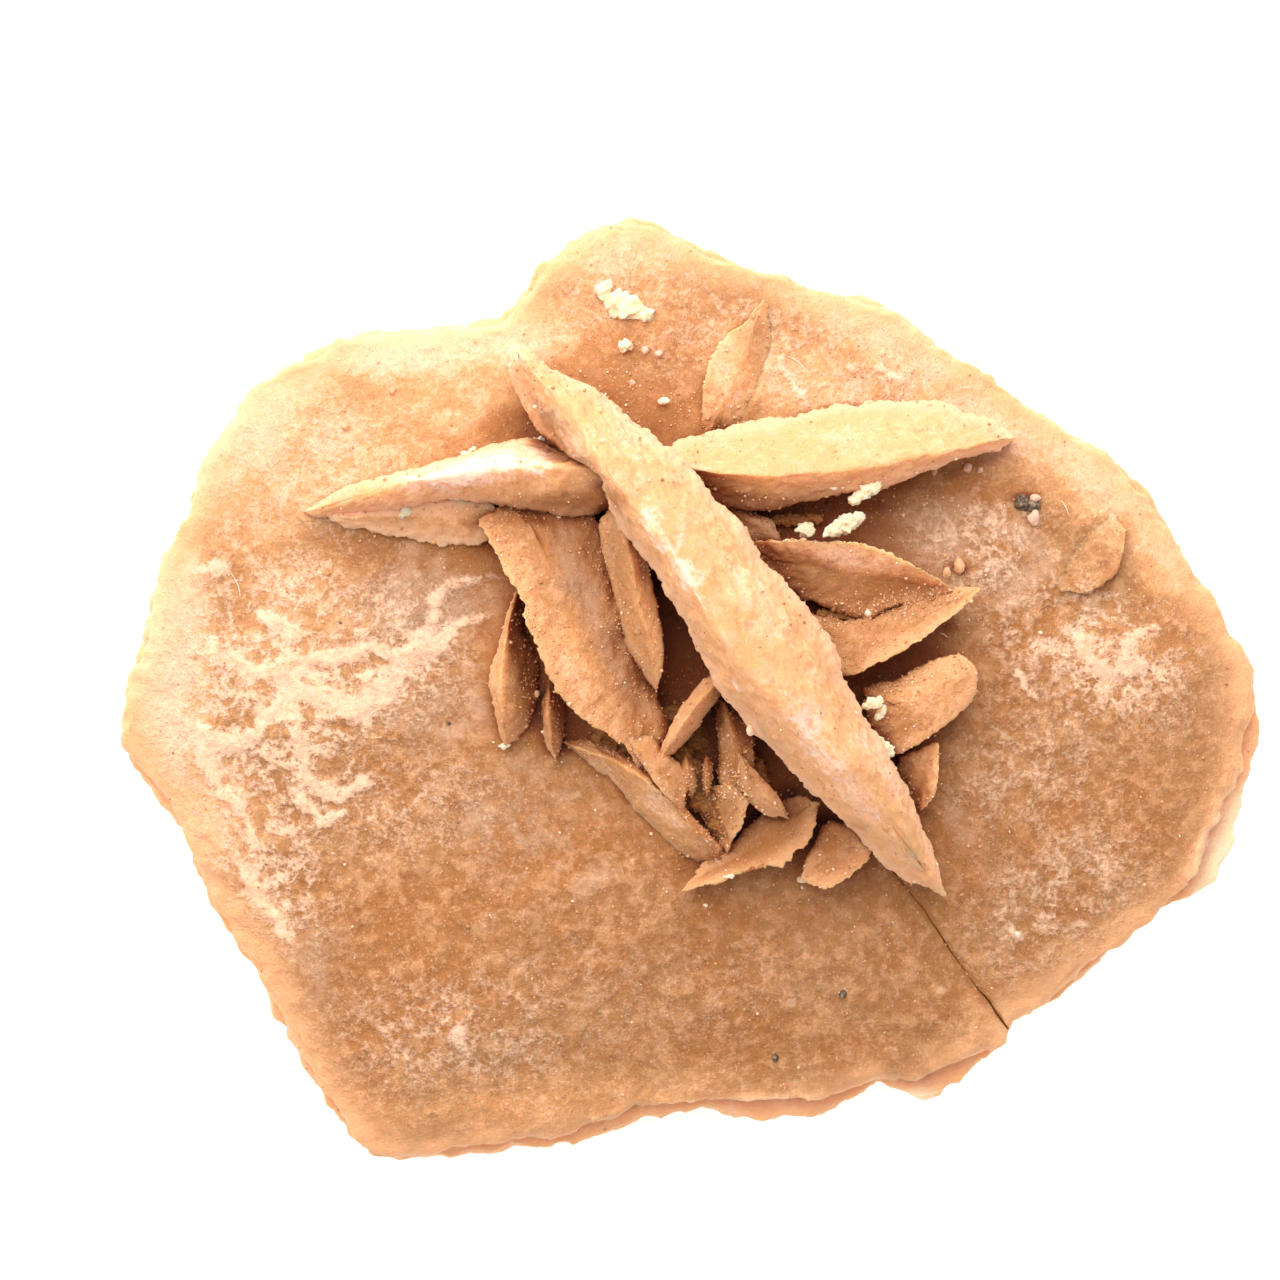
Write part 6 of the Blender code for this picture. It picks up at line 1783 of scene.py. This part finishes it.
class SANDROSE_OT_plate(bpy.types.Operator):
    """Grow the large plate crystal that carries the rose"""
    bl_idname = "sandrose.plate"
    bl_label = "Plate"

    def execute(self, context):
        material = stone_material("plate_gypsum", edge=0.2)
        flake = crystal_group("rim_flake", RIM_FLAKE, context.scene.sand_rose_sizes.petal_step / MM)
        for name, values in plate_patches(mesh_points(flake)).items():
            set_attribute(flake, name, values)
        set_attribute(flake, "rim", FLAKE_RIM * attribute(flake, "rim"))
        dress(flake, material)
        obj = make_plate()
        shade_hollows(obj, stone_tree(), PLATE_RIM_UNSHADED)
        points = mesh_points(obj)
        crack = strand_strength(points, [crack_strand(CRACK_STAIN_WIDTH)])
        set_attribute(obj, "stained", np.maximum(attribute(obj, "stained"), CRACK_STAIN * crack))
        # Beside the crack and round the rim flake the painted shade is kept light.
        near = strand_strength(points, [crack_strand(CRACK_SHADE_WIDTH), FLAKE_AXIS])
        hollow = attribute(obj, "hollow")
        set_attribute(obj, "hollow", np.where(near > 0.0, np.minimum(hollow, CRACK_SHADE_CAP), hollow))
        dress(obj, material)
        return {"FINISHED"}


class SANDROSE_OT_crumbs(bpy.types.Operator):
    """Stick the pale crumbs on and pack rubble between the crystals"""
    bl_idname = "sandrose.crumbs"
    bl_label = "Crumbs"

    def execute(self, context):
        obj = make_heaps("crumbs", CRUMBS, CRUMB_SEED)
        set_all(obj, "rim", CRUMB_RIM)
        set_all(obj, "bleached", FULL_GLOW)
        dress(obj, stone_material("crumb_gypsum", light=1.0, waxy=0.3))
        obj = make_heaps("rubble", RUBBLE, RUBBLE_SEED)
        set_all(obj, "hollow", RUBBLE_SHADE)
        set_all(obj, "stained", RUBBLE_STAIN)
        dress(obj, stone_material("rubble_gypsum"))
        return {"FINISHED"}


class SANDROSE_OT_pebbles(bpy.types.Operator):
    """Set the single round grains and the fibres of dust"""
    bl_idname = "sandrose.pebbles"
    bl_label = "Pebbles and fibres"

    def execute(self, context):
        material = pebble_material()
        dress(make_pebbles(), material)
        dress(make_fibres(), material)
        return {"FINISHED"}


class SANDROSE_OT_sand_grains(bpy.types.Operator):
    """Scatter the sand grains that cling to the stone"""
    bl_idname = "sandrose.sand_grains"
    bl_label = "Sand grains"

    def execute(self, context):
        dress(make_grains(), grain_material())
        return {"FINISHED"}


class SANDROSE_OT_stage(bpy.types.Operator):
    """Set the floor, the light and the camera"""
    bl_idname = "sandrose.stage"
    bl_label = "Stage"

    def execute(self, context):
        scene = context.scene
        bpy.ops.mesh.primitive_plane_add(size=FLOOR_SIZE, location=(0.0, 0.0, -FLOOR_DROP * MM))
        floor = context.object
        floor.name = "floor"
        floor.data.materials.append(floor_material())

        key_data = bpy.data.lights.new("key", "AREA")
        key_data.shape = "DISK"
        key_data.size = KEY_SIZE
        key_data.energy = KEY_POWER
        key_data.color = KEY_COLOUR
        key = bpy.data.objects.new("key", key_data)
        scene.collection.objects.link(key)
        key.location = KEY_PLACE
        key.rotation_euler = (-Vector(KEY_PLACE)).to_track_quat("-Z", "Y").to_euler()

        world = scene.world or bpy.data.worlds.new("studio")
        scene.world = world
        world.use_nodes = True
        background = world.node_tree.nodes["Background"]
        background.inputs["Color"].default_value = (1.0, 1.0, 1.0, 1.0)
        background.inputs["Strength"].default_value = SKY_STRENGTH

        camera_data = bpy.data.cameras.new("camera")
        camera_data.sensor_width = SENSOR_WIDTH
        camera_data.sensor_fit = "HORIZONTAL"
        camera_data.lens = SENSOR_WIDTH * CAMERA_REACH / (FRAME_PIXELS * PIXEL_SIZE)
        camera_data.clip_end = 20.0
        camera = bpy.data.objects.new("camera", camera_data)
        scene.collection.objects.link(camera)
        x, y = FRAME_MIDDLE
        camera.location = (x * PIXEL_SIZE * MM, y * PIXEL_SIZE * MM, (CAMERA_REACH + FACE_HEIGHT) * MM)
        scene.camera = camera
        scene.view_settings.view_transform = "Standard"
        return {"FINISHED"}


class SANDROSE_PT_panel(bpy.types.Panel):
    """Sizes, colours and steps of the sand rose"""
    bl_idname = "SANDROSE_PT_panel"
    bl_label = "Sand rose"
    bl_space_type = "VIEW_3D"
    bl_region_type = "UI"
    bl_category = "Sand Rose"

    def draw(self, context):
        layout = self.layout
        for group in (context.scene.sand_rose_sizes, context.scene.sand_rose_colours):
            box = layout.box()
            for key in group.__annotations__:
                box.prop(group, key)
        for operator in OPERATORS:
            layout.operator(operator.bl_idname)


SETTINGS = (SandRoseSizes, SandRoseColours)
OPERATORS = (
    SANDROSE_OT_long_blade, SANDROSE_OT_cross_blades, SANDROSE_OT_petals, SANDROSE_OT_underside,
    SANDROSE_OT_plate, SANDROSE_OT_crumbs, SANDROSE_OT_pebbles, SANDROSE_OT_sand_grains,
    SANDROSE_OT_stage,
)


def register():
    """Make the settings, operators and panel known to Blender."""
    for kind in SETTINGS + OPERATORS + (SANDROSE_PT_panel,):
        bpy.utils.register_class(kind)
    bpy.types.Scene.sand_rose_sizes = PointerProperty(type=SandRoseSizes)
    bpy.types.Scene.sand_rose_colours = PointerProperty(type=SandRoseColours)


def unregister():
    """Take them out again."""
    del bpy.types.Scene.sand_rose_colours
    del bpy.types.Scene.sand_rose_sizes
    for kind in reversed(SETTINGS + OPERATORS + (SANDROSE_PT_panel,)):
        bpy.utils.unregister_class(kind)


def main():
    """Build every piece."""
    register()
    for operator in OPERATORS:
        family, name = operator.bl_idname.split(".")
        getattr(getattr(bpy.ops, family), name)()


if __name__ == "__main__":
    main()
